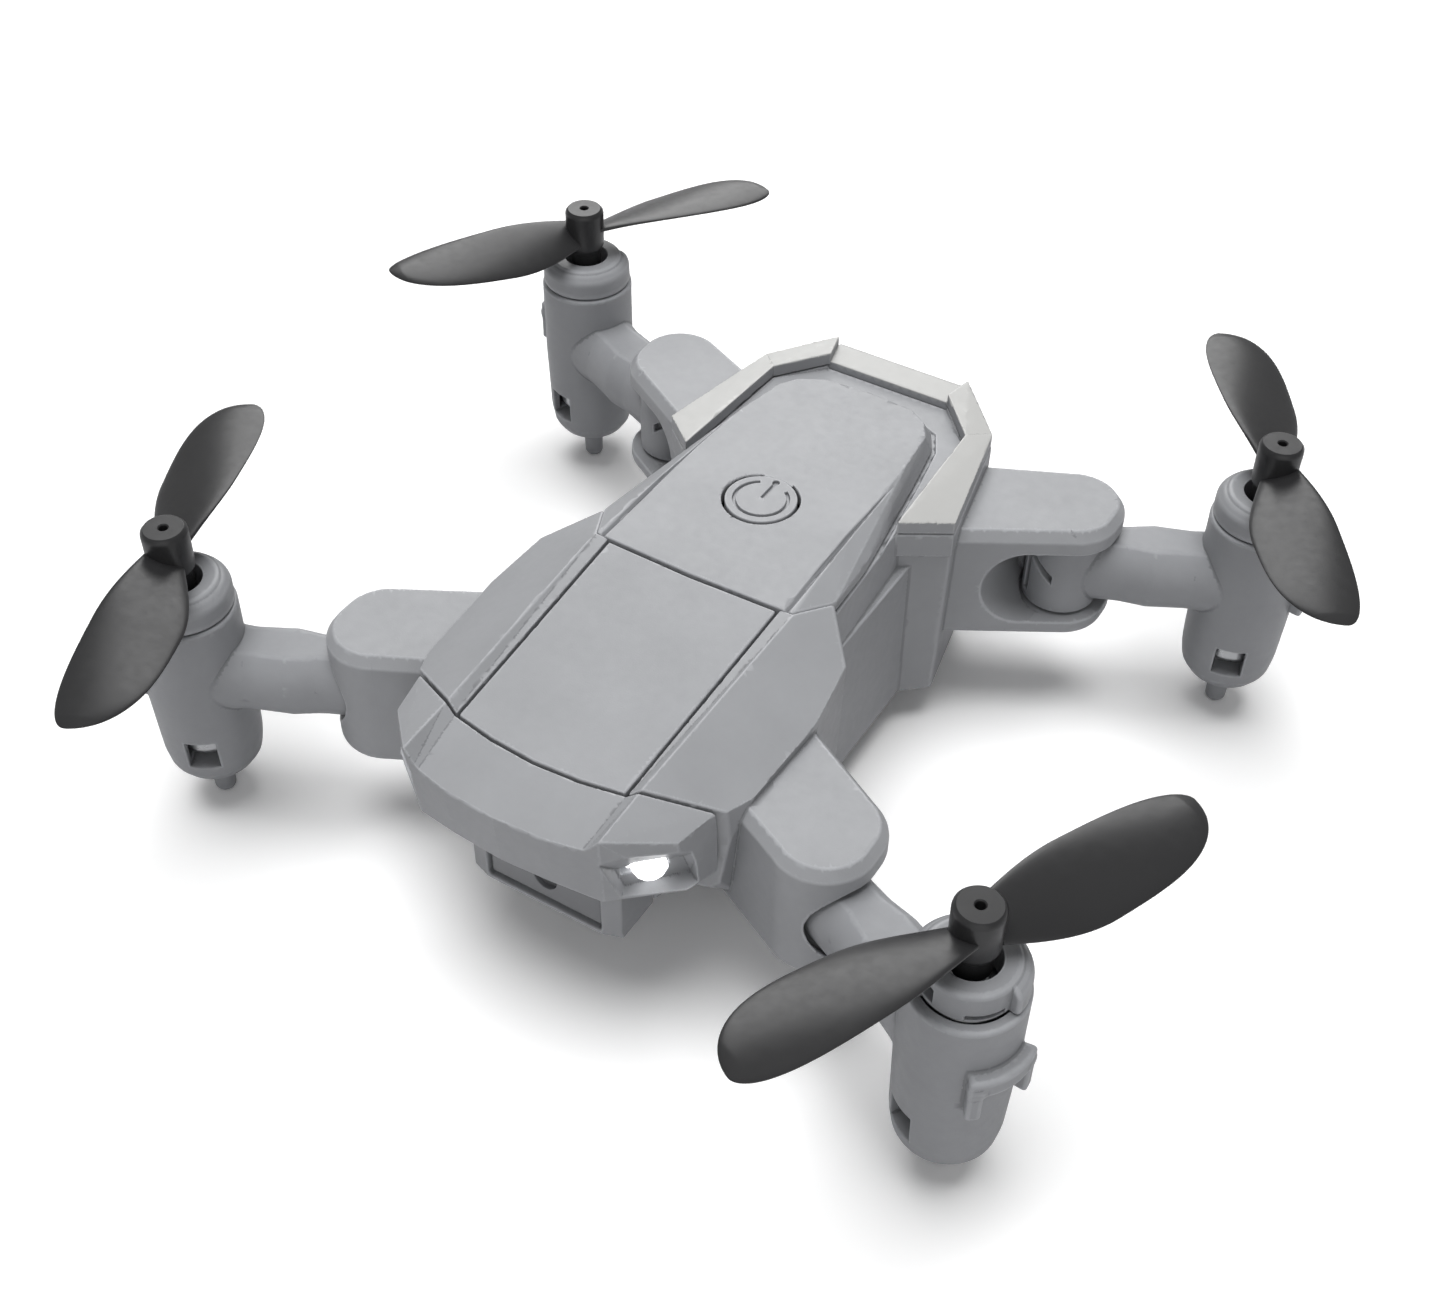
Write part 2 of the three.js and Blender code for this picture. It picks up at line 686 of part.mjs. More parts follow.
function bellyCover() {
  const plate = hull(both([
    [10, -17.2, BELLY_Z],
    [10, 24.6, BELLY_Z],
    [10, -17.2, BELLY_Z + WALL],
    [10, 24.6, BELLY_Z + WALL],
  ]));
  const holes = SCREWS.flatMap(([x, y]) => [
    cylinder(0.9, 0, 10, x, y, 10),
    cylinder(1.6, 0, BELLY_Z + 0.6, x, y, 16),
  ]);
  return cut(plate, ...holes);
}

function bellyScrew([x, y]) {
  const head = cylinder(1.3, BELLY_Z - 0.1, BELLY_Z + 0.45, x, y, 12);
  const shank = cylinder(0.6, BELLY_Z + 0.3, BELLY_Z + 3, x, y, 8);
  const slots = [
    box([x - 0.9, x + 0.9], [y - 0.15, y + 0.15], [0, BELLY_Z + 0.15]),
    box([x - 0.15, x + 0.15], [y - 0.9, y + 0.9], [0, BELLY_Z + 0.15]),
  ];
  return cut(join(head, shank), ...slots);
}

function mainBoard() {
  const board = box([-8.1, 8.1], [-24, 14], [19.6, 20.8]);
  const processor = box([-3, 3], [-12, -6], [20.7, 21.7]);
  const socket = box([-4, 4], [-20, -16], [20.7, 22.6]);
  return join(board, processor, socket);
}

function buttonSwitch() {
  const housing = box([-2.2, 2.2], [BUTTON_Y - 2.2, BUTTON_Y + 2.2], [21.1, 22.9]);
  return join(housing, cylinder(1.1, 22.8, 23.9, 0, BUTTON_Y, 20));
}

function batteryPack() {
  const pack = box(
    [-BATTERY_HALF_WIDTH, BATTERY_HALF_WIDTH],
    [BATTERY_FRONT_Y, TAIL_Y - 1],
    [BATTERY_BOTTOM_Z, BATTERY_TOP_Z],
  );
  const inset = 0.1; // of the end cap from the pack's sides
  const endCap = box(
    [inset - BATTERY_HALF_WIDTH, BATTERY_HALF_WIDTH - inset],
    [TAIL_Y - 1.5, TAIL_Y + 0.3],
    [BATTERY_BOTTOM_Z + inset, BATTERY_TOP_Z - inset],
  );
  const grips = [-3, 0, 3].map((x) =>
    box([x - 0.5, x + 0.5], [TAIL_Y, TAIL_Y + 1], [BATTERY_BOTTOM_Z + 2, BATTERY_TOP_Z - 2]));
  return cut(join(pack, endCap), ...grips);
}

// ---------------------------------------------------------------- arms

// Puts geometry made in the hinge frame (x along the arm) in place.
function inPlace(arm, geometry) {
  geometry.rotateZ(restAngle(arm));
  geometry.translate(arm.x * PIVOT_X, arm.y * PIVOT_Y, 0);
  return solidOf(geometry);
}

function armTube(arm) {
  const steps = [
    [0, ARM_HALF_WIDTH - 0.1, ARM_HALF_HEIGHT],
    [5.5, ARM_HALF_WIDTH, ARM_HALF_HEIGHT],
    [8.2, ARM_HALF_WIDTH + 0.45, ARM_HALF_HEIGHT + 0.25],
    [12, ARM_HALF_WIDTH + 0.4, ARM_HALF_HEIGHT],
    [ARM_LENGTH - 1, ARM_HALF_WIDTH + 1, ARM_HALF_HEIGHT + 0.1],
  ];
  const sides = 16;
  const angle = restAngle(arm);
  const rings = steps.map(([along, halfWidth, halfHeight]) => {
    const ring = [];
    for (let i = 0; i < sides; i += 1) {
      const a = (2 * Math.PI * i) / sides;
      const across = halfWidth * Math.cos(a);
      const x = arm.x * PIVOT_X + along * Math.cos(angle) - across * Math.sin(angle);
      const y = arm.y * PIVOT_Y + along * Math.sin(angle) + across * Math.cos(angle);
      ring.push([x, y, ARM_Z + halfHeight * Math.sin(a)]);
    }
    return ring;
  });
  return loft(rings);
}

// The pod's outside, from the tip of its foot to the ledge under the motor cap.
const POD_PROFILE = [
  [0, 0],
  [0.6, 0],
  [FOOT_RADIUS, 0.45],
  [FOOT_RADIUS + 0.1, POD_BASE_Z],
  [2.9, POD_BASE_Z + 0.1],
  [3.8, POD_BASE_Z + 0.7],
  [4.4, POD_BASE_Z + 1.8],
  [4.65, POD_BASE_Z + 3.5],
  [POD_RADIUS, 15],
  [POD_RADIUS, POD_LEDGE_Z - 0.4],
  [POD_RADIUS - 0.4, POD_LEDGE_Z],
  [0, POD_LEDGE_Z],
];

// The clip on the outer side of each pod that a propeller guard hooks onto.
function guardClip(arm) {
  const ring = (from, to, z0, z1) => {
    const outline = [...arc(0, 0, 6, from, to, 8), ...arc(0, 0, POD_RADIUS - 0.3, to, from, 8)];
    const shape = new THREE.Shape(outline.map(([x, y]) => new THREE.Vector2(x, y)));
    const geometry = new THREE.ExtrudeGeometry(shape, { depth: z1 - z0, bevelEnabled: false });
    geometry.translate(ARM_LENGTH, 0, z0);
    return inPlace(arm, geometry);
  };
  return join(ring(-33, 33, 17, 18.8), ring(-33, -21, 14.2, 17.1), ring(21, 33, 14.2, 17.1));
}

// Openings low in the pod, one each side of the arm.
function podSlots(arm) {
  return [98, -98].map((degrees) => {
    const geometry = new THREE.BoxGeometry(4, 2.8, 3.2);
    geometry.translate(POD_RADIUS - 0.6, 0, 8.6);
    geometry.rotateZ(radians(degrees));
    geometry.translate(ARM_LENGTH, 0, 0);
    return inPlace(arm, geometry);
  });
}

function armFrame(arm) {
  const pod = turned(POD_PROFILE, 24);
  pod.translate(ARM_LENGTH, 0, 0);
  const px = arm.x * PIVOT_X;
  const py = arm.y * PIVOT_Y;
  const knuckleEnds = [ARM_Z - KNUCKLE_HALF_HEIGHT, ARM_Z + KNUCKLE_HALF_HEIGHT];
  const knuckle = cylinder(KNUCKLE_RADIUS, ...knuckleEnds, px, py, 24);
  const bore = turned([[0, BORE_FLOOR_Z], [BORE_RADIUS, BORE_FLOOR_Z], [BORE_RADIUS, 30], [0, 30]], 24);
  bore.translate(ARM_LENGTH, 0, 0);
  const detent = new THREE.BoxGeometry(1.6, 1, 4.6);
  detent.translate(-KNUCKLE_RADIUS, 0, ARM_Z + 0.9);
  detent.rotateZ(hand(arm) * radians(62));
  return cut(
    join(inPlace(arm, pod), armTube(arm), knuckle, guardClip(arm)),
    inPlace(arm, bore),
    cylinder(PIN_RADIUS + PIN_CLEARANCE, 5, 25, px, py, 16),
    inPlace(arm, detent),
    ...podSlots(arm),
  );
}

// The cap that closes the motor bore: full width towards the arm, cut back in front.
function motorCap(arm) {
  const side = hand(arm);
  const plug = [
    [CAP_HOLE_RADIUS, POD_LEDGE_Z + GAP],
    [CAP_RADIUS, POD_LEDGE_Z + GAP],
    [CAP_RADIUS, CAP_TOP_Z - 0.3],
    [CAP_RADIUS - 0.3, CAP_TOP_Z],
    [CAP_HOLE_RADIUS, CAP_TOP_Z],
    [CAP_HOLE_RADIUS, POD_LEDGE_Z + GAP],
  ];
  const core = turned(plug, 24);
  core.translate(ARM_LENGTH, 0, 0);
  const wide = turned([
    [CAP_HOLE_RADIUS + 0.4, POD_LEDGE_Z + GAP],
    [CAP_COLLAR_RADIUS, POD_LEDGE_Z + GAP],
    [CAP_COLLAR_RADIUS - 0.05, CAP_TOP_Z - 1],
    [CAP_COLLAR_RADIUS - 0.75, CAP_TOP_Z - 0.2],
    [CAP_HOLE_RADIUS + 0.4, CAP_TOP_Z - 0.2],
    [CAP_HOLE_RADIUS + 0.4, POD_LEDGE_Z + GAP],
  ], 24);
  wide.translate(ARM_LENGTH, 0, 0);
  const keepOut = [[0, 0], ...arc(0, 0, 8, side * 10, side * -100, 6)];
  const shape = new THREE.Shape(keepOut.map(([x, y]) => new THREE.Vector2(x, y)));
  const sector = new THREE.ExtrudeGeometry(shape, { depth: 8, bevelEnabled: false });
  sector.translate(ARM_LENGTH, 0, 20);
  const collar = cut(inPlace(arm, wide), inPlace(arm, sector));
  return join(inPlace(arm, core), collar);
}

function motorCan(arm) {
  const can = turned([
    [0.9, BORE_FLOOR_Z + GAP + 1.2],
    [2.6, BORE_FLOOR_Z + GAP],
    [MOTOR_RADIUS, BORE_FLOOR_Z + GAP + 0.5],
    [MOTOR_RADIUS, POD_LEDGE_Z - 0.3],
    [1.6, POD_LEDGE_Z - 0.3],
    [1.6, POD_LEDGE_Z + 0.6],
    [0.9, POD_LEDGE_Z + 0.6],
    [0.9, BORE_FLOOR_Z + GAP + 1.2],
  ], 16);
  can.translate(ARM_LENGTH, 0, 0);
  return inPlace(arm, can);
}

const hingePin = (arm) =>
  cylinder(
    PIN_RADIUS,
    SHOULDER_BOTTOM_Z + 0.1,
    SHOULDER_TOP_Z - PIN_ROOF - GAP,
    arm.x * PIVOT_X,
    arm.y * PIVOT_Y,
    12,
  );

const motorShaft = (arm) =>
  cylinder(SHAFT_RADIUS, 14, HUB_TOP_Z - 1.2, arm.x * MOTOR_X, arm.y * MOTOR_Y, 10);

// ---------------------------------------------------------------- propellers

// Blade width at a share of the span: grows to its widest, then rounds off to the tip.
function bladeChord(share) {
  const widest = 0.42; // share of the span
  const bluntness = 3.4; // of the rounding
  if (share < widest) {
    return ROOT_CHORD + (BLADE_CHORD - ROOT_CHORD) * Math.sin((Math.PI / 2) * (share / widest));
  }
  const past = (share - widest) / (1 - widest);
  return BLADE_CHORD * Math.sqrt(1 - past ** bluntness);
}

// One closed section of a blade. The blade's leading edge is nearly straight, so the
// section moves back as it widens.
function bladeRing(share, degrees, spin) {
  const radius = BLADE_ROOT + (BLADE_RADIUS - BLADE_ROOT) * share;
  const chord = bladeChord(share);
  const pitch = radians(ROOT_PITCH - TWIST * share);
  const thickness = BLADE_THICKNESS * (1 - 0.45 * share);
  const setBack = 0.19 * (chord - ROOT_CHORD);
  const points = 8;
  const heading = radians(degrees);
  const ring = [];
  for (let i = 0; i < points; i += 1) {
    const a = (2 * Math.PI * i) / points;
    const flat = (chord / 2) * Math.cos(a);
    const camber = 0.04 * chord * Math.sin(a) ** 2;
    const thick = (thickness / 2) * Math.sin(a) + camber;
    const across = spin * (flat * Math.cos(pitch) - thick * Math.sin(pitch) - setBack);
    const up = flat * Math.sin(pitch) + thick * Math.cos(pitch);
    const x = radius * Math.cos(heading) - across * Math.sin(heading);
    const y = radius * Math.sin(heading) + across * Math.cos(heading);
    ring.push([x, y, BLADE_Z + BLADE_RISE * share + up]);
  }
  return ring;
}

function blade(degrees, spin) {
  const shares = [0, 0.16, 0.36, 0.56, 0.72, 0.84, 0.93, 0.98, 0.998];
  return loft(shares.map((share) => bladeRing(share, degrees, spin)));
}

function propeller(arm) {
  const hub = turned([
    [0, HUB_BASE_Z],
    [1.6, HUB_BASE_Z],
    [1.7, HUB_BASE_Z + 2],
    [HUB_RADIUS, HUB_BASE_Z + 2.6],
    [HUB_RADIUS + 0.1, HUB_TOP_Z - 0.4],
    [HUB_RADIUS - 0.2, HUB_TOP_Z],
    [0, HUB_TOP_Z],
  ], 20);
  const made = cut(
    join(solidOf(hub), blade(arm.blades, arm.x), blade(arm.blades + 180, arm.x)),
    cylinder(SHAFT_RADIUS + 0.15, 20, 40, 0, 0, 10),
  );
  const mesh = piece(`propeller_${arm.name}`, made, glossBlack);
  mesh.position.set(arm.x * MOTOR_X, arm.y * MOTOR_Y, 0);
  return mesh;
}

// ---------------------------------------------------------------- assembly

function airframe() {
  const group = new THREE.Group();
  group.add(
    piece('main_shell', mainShell(), bodyGrey),
    piece('nose_cover', noseCover(), bodyGrey),
    piece('top_panel', topPanel(), bodyGrey),
    piece('rear_deck', rearDeck(), bodyGrey),
    piece('tail_trim', tailTrim(), silverTrim),
    piece('belly_cover', bellyCover(), bodyGrey),
    piece('camera_housing', cameraHousing(), bodyGrey),
    piece('camera_window', cameraWindow(), darkGlass),
    piece('camera_module', cameraModule(), softBlack),
    piece('lamp_lens_left', lampLens(1), clearLens),
    piece('lamp_lens_right', lampLens(-1), clearLens),
    piece('lamp_led_left', lampLed(1), clearLens),
    piece('lamp_led_right', lampLed(-1), clearLens),
    piece('main_board', mainBoard(), boardGreen),
    piece('button_switch', buttonSwitch(), softBlack),
    piece('power_button', powerButton(), bodyGrey),
    piece('battery_pack', batteryPack(), packBlack),
  );
  SCREWS.forEach((place, i) => group.add(piece(`belly_screw_${i + 1}`, bellyScrew(place), steel)));
  return group;
}

function armAssembly(arm) {
  const group = new THREE.Group();
  group.add(
    piece(`arm_${arm.name}`, armFrame(arm), armGrey),
    piece(`hinge_pin_${arm.name}`, hingePin(arm), steel),
    piece(`motor_cap_${arm.name}`, motorCap(arm), armGrey),
    piece(`motor_can_${arm.name}`, motorCan(arm), steel),
    piece(`motor_shaft_${arm.name}`, motorShaft(arm), steel),
    propeller(arm),
  );
  return group;
}

const drone = new THREE.Group();
drone.add(airframe(), ...ARMS.map(armAssembly));
drone.position.y = MIDDLE_Y;

export default drone;
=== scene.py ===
"""Looks of the mini palm drone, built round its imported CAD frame."""
import json
import math
from functools import reduce

import bmesh
import bpy
import numpy as np
import openvdb
from mathutils import Matrix, Vector


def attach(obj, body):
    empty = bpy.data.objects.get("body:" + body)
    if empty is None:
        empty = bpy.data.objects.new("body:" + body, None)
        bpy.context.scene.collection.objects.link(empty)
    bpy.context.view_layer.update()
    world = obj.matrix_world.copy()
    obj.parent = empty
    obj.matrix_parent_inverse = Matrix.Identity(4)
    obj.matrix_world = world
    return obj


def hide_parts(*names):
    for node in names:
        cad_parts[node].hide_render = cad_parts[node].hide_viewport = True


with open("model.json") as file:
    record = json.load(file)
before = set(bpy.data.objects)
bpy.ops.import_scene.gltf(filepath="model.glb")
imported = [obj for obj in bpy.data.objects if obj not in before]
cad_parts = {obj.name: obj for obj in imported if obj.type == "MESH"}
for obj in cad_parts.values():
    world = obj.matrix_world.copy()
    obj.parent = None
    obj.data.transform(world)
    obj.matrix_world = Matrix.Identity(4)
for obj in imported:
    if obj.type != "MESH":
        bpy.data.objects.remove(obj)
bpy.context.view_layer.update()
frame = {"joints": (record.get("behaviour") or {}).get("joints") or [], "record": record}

MM = 0.001
VOXEL = 0.13  # mm between samples of a surface
BLOCK = 8  # samples along each side of a block
CHUNK = 256  # blocks worked out together
BAND = 0.8  # mm of distance that is kept on each side of a surface
FAR = 5.0  # mm, stands for anything well outside a shape
EDGE = 0.3  # mm, radius of a moulded outer edge
SEAM = 0.28  # mm between outer covers
GAP = 0.3  # mm between other neighbours
SHARP = 3.0  # 1/mm, the bend of a fully sharp edge
ADAPT = 0.02  # how readily flat stretches are merged into larger faces
FINE_ADAPT = 0.004  # the same, for a piece with low ridges
FLAT_LEAN = math.cos(math.radians(0.6))  # a corner that leans less than this from its face is flat
SLIVER = 1e-7  # mm2, a face too small to have a direction
DEGREE = math.pi / 180

# ---- shapes as distances
# A shape takes sample points (x, y, z) in mm and gives the distance to its surface, below 0 inside.


def smooth_max(a, b, k):
    top = np.maximum(a, b)
    if k <= 0:
        return top
    near = np.maximum(k - np.abs(a - b), 0)
    return top + near * near * np.float32(0.25 / k)


def smooth_min(a, b, k):
    return -smooth_max(-a, -b, k)


def fuse(k, *shapes):
    return lambda p: reduce(lambda a, b: smooth_min(a, b, k), (s(p) for s in shapes))


def carve(k, shape, *tools):
    return lambda p: reduce(lambda a, b: smooth_max(a, -b, k), (t(p) for t in tools), shape(p))


def common(k, *shapes):
    return lambda p: reduce(lambda a, b: smooth_max(a, b, k), (s(p) for s in shapes))


def flip(shape):
    return lambda p: -shape(p)


def between(value, low, high):
    """Distance outside a span, below 0 inside it."""
    return np.abs(value - (low + high) / 2) - (high - low) / 2


def meeting(sides):
    """What lies inside every side, each given as its distance and the rounding where it meets the rest."""
    d = None
    for e, k in sides:
        d = e if d is None else smooth_max(d, e, k)
    return d


def offset(shape, by):
    return lambda p: shape(p) - by


def mirrored(shape):
    """A shape of the +x side, and its mirror image."""
    return lambda p: shape((np.abs(p[0]), p[1], p[2]))


def within(low, high, shape):
    """The shape, skipped for samples well away from the box it fills."""
    def field(p):
        for axis, lo, hi in zip(p, low, high):
            if axis.min() > hi + BAND or axis.max() < lo - BAND:
                return np.float32(FAR)
        return shape(p)
    return field


def moved(shape, at, turn=0.0, tilt=0.0):
    """The shape turned about z by turn, after a tilt about its own x, and put at a place."""
    c, s = math.cos(turn), math.sin(turn)
    ct, st = math.cos(tilt), math.sin(tilt)

    def field(p):
        x, y, z = p[0] - at[0], p[1] - at[1], p[2] - at[2]
        u, v = x * c + y * s, y * c - x * s
        if tilt:
            v, z = v * ct + z * st, z * ct - v * st
        return shape((u, v, z))
    return field


def within_round(at, radius, zs, shape):
    low = (at[0] - radius, at[1] - radius, zs[0])
    return within(low, (at[0] + radius, at[1] + radius, zs[1]), shape)


def sides_of(line):
    """The normal, to the right of its direction, and the start of each stretch of a plane line."""
    sides = []
    for (x0, y0), (x1, y1) in zip(line, line[1:]):
        length = math.hypot(x1 - x0, y1 - y0)
        sides.append(((y1 - y0) / length, -(x1 - x0) / length, x0, y0))
    return sides


def past(sides, x, y):
    """Distance beyond the furthest of the sides."""
    return reduce(np.maximum, ((x - x0) * nx + (y - y0) * ny for nx, ny, x0, y0 in sides))


def both(points):
    return list(points) + [(-x, y, z) for x, y, z in points]


def raised(points, by):
    return [(x, y, z + by) for x, y, z in points]


def slab(points, depth):
    return list(points) + raised(points, -depth)


def hull(points, edge=EDGE):
    """Convex shape round points, with rounded edges."""
    bm = bmesh.new()
    for point in points:
        bm.verts.new(point)
    bmesh.ops.convex_hull(bm, input=bm.verts)
    bm.normal_update()
    middle = sum((Vector(p) for p in points), Vector()) / len(points)
    planes = {}
    for face in bm.faces:
        n = face.normal.copy()
        if face.calc_area() < SLIVER:
            continue
        if n.dot(middle - face.verts[0].co) > 0:
            n.negate()
        planes[tuple(round(c, 3) for c in n)] = (n, n.dot(face.verts[0].co))
    bm.free()
    rows = []
    for n, reach in planes.values():
        alike = max((n.dot(Vector(row[:3])) for row in rows), default=-1.0)
        rows.append((*n, reach, edge * min(1.0, 2 * (1 - alike))))

    def field(p):
        x, y, z = p
        return meeting(((x * nx + y * ny) + (z * nz - reach), k) for nx, ny, nz, reach, k in rows)
    return within(np.min(points, axis=0), np.max(points, axis=0), field)


def box(xs, ys, zs, edge=EDGE):
    low, high = zip(xs, ys, zs)
    return within(low, high, lambda p: meeting((between(*side), edge) for side in zip(p, low, high)))


def cylinder(at, radius, zs, edge=EDGE):
    def field(p):
        return smooth_max(np.hypot(p[0] - at[0], p[1] - at[1]) - radius, between(p[2], *zs), edge)
    return within_round(at, radius, zs, field)


def turned(at, profile, edge=EDGE):
    """Convex shape turned about a vertical axis, from (radius, height) points going outwards and up."""
    rows = []
    for nr, nz, r0, z0 in sides_of(profile):
        alike = max((nr * a + nz * b for a, b, *_ in rows), default=-1.0)
        rows.append((nr, nz, nr * r0 + nz * z0, edge * min(1.0, 2 * (1 - alike))))

    def field(p):
        r = np.hypot(p[0] - at[0], p[1] - at[1])
        return meeting((r * nr + p[2] * nz - reach, k) for nr, nz, reach, k in rows)
    radii, heights = zip(*profile)
    return within_round(at, max(radii), (min(heights), max(heights)), field)


def oval_bar(at, angle, half_width, half_height, length, across=0.0):
    """Bar of oval section from a point outwards in the plan."""
    c, s = math.cos(angle), math.sin(angle)

    def field(p):
        x, y = p[0] - at[0], p[1] - at[1]
        along, side = x * c + y * s, y * c - x * s - across
        small = min(half_width, half_height)
        oval = (np.hypot(side / half_width, (p[2] - at[2]) / half_height) - 1) * small
        return smooth_max(oval, between(along, 0, length), 0)
    return field


# ---- surfaces from shapes


def blocks_of(low, active, voxel):
    """The sample coordinates of chunks of active blocks, and the blocks' places."""
    steps = np.arange(BLOCK, dtype=np.float32) * np.float32(voxel)
    places = np.argwhere(active)
    for i in range(0, len(places), CHUNK):
        part = places[i:i + CHUNK]
        corner = (low + part * (BLOCK * voxel)).astype(np.float32)
        x = corner[:, 0, None, None, None] + steps[None, :, None, None]
        y = corner[:, 1, None, None, None] + steps[None, None, :, None]
        z = corner[:, 2, None, None, None] + steps[None, None, None, :]
        yield part, (x, y, z)


def sampled(shape, low, high, voxel):
    """Dense distances over a box, worked out only in blocks that the surface may cross."""
    low = np.array(low, float) - 2 * voxel
    size = BLOCK * voxel
    counts = np.ceil((np.array(high, float) + 2 * voxel - low) / size).astype(int)
    middles = [low[i] + (np.arange(counts[i]) + 0.5) * size for i in range(3)]
    x, y, z = (m.astype(np.float32) for m in middles)
    rough = shape((x[:, None, None], y[None, :, None], z[None, None, :]))
    rough = np.broadcast_to(rough, counts)
    active = np.abs(rough) < size * 0.95  # a little over half a block's diagonal
    dense = np.where(rough < 0, np.float32(-BAND), np.float32(BAND))
    for axis in range(3):
        dense = np.repeat(dense, BLOCK, axis)
    cells = dense.reshape(counts[0], BLOCK, counts[1], BLOCK, counts[2], BLOCK)
    for part, p in blocks_of(low, active, voxel):
        d = np.clip(np.broadcast_to(shape(p), (len(part),) + (BLOCK,) * 3), -BAND, BAND)
        cells[part[:, 0], :, part[:, 1], :, part[:, 2], :] = d
    return low, dense


def slopes(shape, points, step):
    """Distance, its direction of growth and its bend at single points."""
    p = [points[:, i].astype(np.float32) for i in range(3)]
    here = shape(tuple(p)) + 0 * p[0]
    grads, bend = [], -6 * here
    for i in range(3):
        ahead, back = list(p), list(p)
        ahead[i], back[i] = p[i] + np.float32(step), p[i] - np.float32(step)
        up, down = shape(tuple(ahead)), shape(tuple(back))
        grads.append(up - down)
        bend = bend + up + down
    return here, np.stack(grads, 1) / (2 * step), bend / (step * step)


def surfaced(shape, low, high, voxel=None, adaptivity=ADAPT):
    """Points, faces, and each face corner's normal and edge sharpness, of a shape's surface."""
    voxel = voxel or VOXEL
    step, wide_step, least_steep = 0.02, 0.06, 0.3  # mm, mm, and the square of a slope
    low, dense = sampled(shape, low, high, voxel)
    grid = openvdb.FloatGrid(background=BAND)
    grid.copyFromArray(dense)
    points, tris, quads = grid.convertToPolygons(isovalue=0.0, adaptivity=adaptivity)
    points = low + points.astype(float) * voxel
    for _ in range(2):
        here, g, _ = slopes(shape, points, step)
        steep = np.maximum((g * g).sum(1), least_steep)
        points = points - g * np.clip(here / steep, -voxel / 3, voxel / 3)[:, None]
    _, g, bend = slopes(shape, points, wide_step)
    normals = g / np.maximum(np.linalg.norm(g, axis=1), 1e-6)[:, None]
    faces, corner_normals, corner_edges = [], [], []
    for group in (tris.astype(np.int64), quads.astype(np.int64)):
        if not len(group):
            continue
        corners = points[group]
        across = np.cross(corners[:, 2] - corners[:, 0], corners[:, -1] - corners[:, 1])
        if group.shape[1] == 3:
            across = np.cross(corners[:, 1] - corners[:, 0], corners[:, 2] - corners[:, 0])
        wide = np.linalg.norm(across, axis=1)
        flat = across / np.maximum(wide, 1e-9)[:, None]
        own = normals[group]
        if np.einsum("ij,ij->i", flat, own.sum(1)).sum() < 0:
            group, own, flat = group[:, ::-1], own[:, ::-1], -flat
        lean = np.einsum("ikj,ij->ik", own, flat)
        plane = (np.sort(lean, axis=1)[:, -2] > FLAT_LEAN) & (wide > 2 * voxel * voxel)
        own = np.where(plane[:, None, None], flat[:, None, :], own)
        edges = np.where(plane[:, None], 0, np.clip(bend / SHARP, -1, 1)[group])
        faces.append(group)
        corner_normals.append(own.reshape(-1, 3))
        corner_edges.append(edges.ravel())
    return points, faces, np.concatenate(corner_normals), np.concatenate(corner_edges)


def in_scene(name, data):
    obj = bpy.data.objects.new(name, data)
    bpy.context.scene.collection.objects.link(obj)
    return obj


def turned_over(values, faces):
    """Values of face corners, in the order the corners have once their faces are turned over."""
    ends = np.cumsum([f.size for f in faces])[:-1]
    return np.concatenate([part.reshape(*f.shape, -1)[:, ::-1].reshape(f.size, -1)
                           for part, f in zip(np.split(values, ends), faces)])


def new_piece(name, points, faces, normals=None, edges=None, place=None):
    """A mesh object from points in mm and groups of faces of one size, placed by a matrix in mm."""
    place = place or Matrix.Identity(4)
    turn = np.array(place.to_3x3())
    points = (points @ turn.T + np.array(place.translation)) * MM
    mesh = bpy.data.meshes.new(name)
    if np.linalg.det(turn) < 0:
        if normals is not None:
            normals, edges = turned_over(normals, faces), turned_over(edges, faces)
        faces = [f[:, ::-1] for f in faces]
    sizes = np.concatenate([np.full(len(f), f.shape[1]) for f in faces])
    mesh.vertices.add(len(points))
    mesh.vertices.foreach_set("co", points.astype(np.float32).ravel())
    mesh.loops.add(int(sizes.sum()))
    mesh.loops.foreach_set("vertex_index", np.concatenate([f.ravel() for f in faces]).astype(np.int32))
    mesh.polygons.add(len(sizes))
    starts = np.concatenate([[0], np.cumsum(sizes)[:-1]])
    mesh.polygons.foreach_set("loop_start", starts.astype(np.int32))
    mesh.update(calc_edges=True)
    mesh.polygons.foreach_set("use_smooth", [True] * len(sizes))
    if normals is not None:
        sharpness = mesh.attributes.new("edge", "FLOAT", "CORNER")
        sharpness.data.foreach_set("value", edges.astype(np.float32).ravel())
        mesh.normals_split_custom_set((normals @ turn.T).tolist())
    return in_scene(name, mesh)


def outward(points, faces):
    """The faces, turned over if they point inwards."""
    volume = 0.0
    for group in faces:
        c = points[group]
        for i in range(1, group.shape[1] - 1):
            volume += np.einsum("ij,ij->", c[:, 0], np.cross(c[:, i], c[:, i + 1]))
    return faces if volume > 0 else [group[:, ::-1] for group in faces]


# ---- places taken from the frame

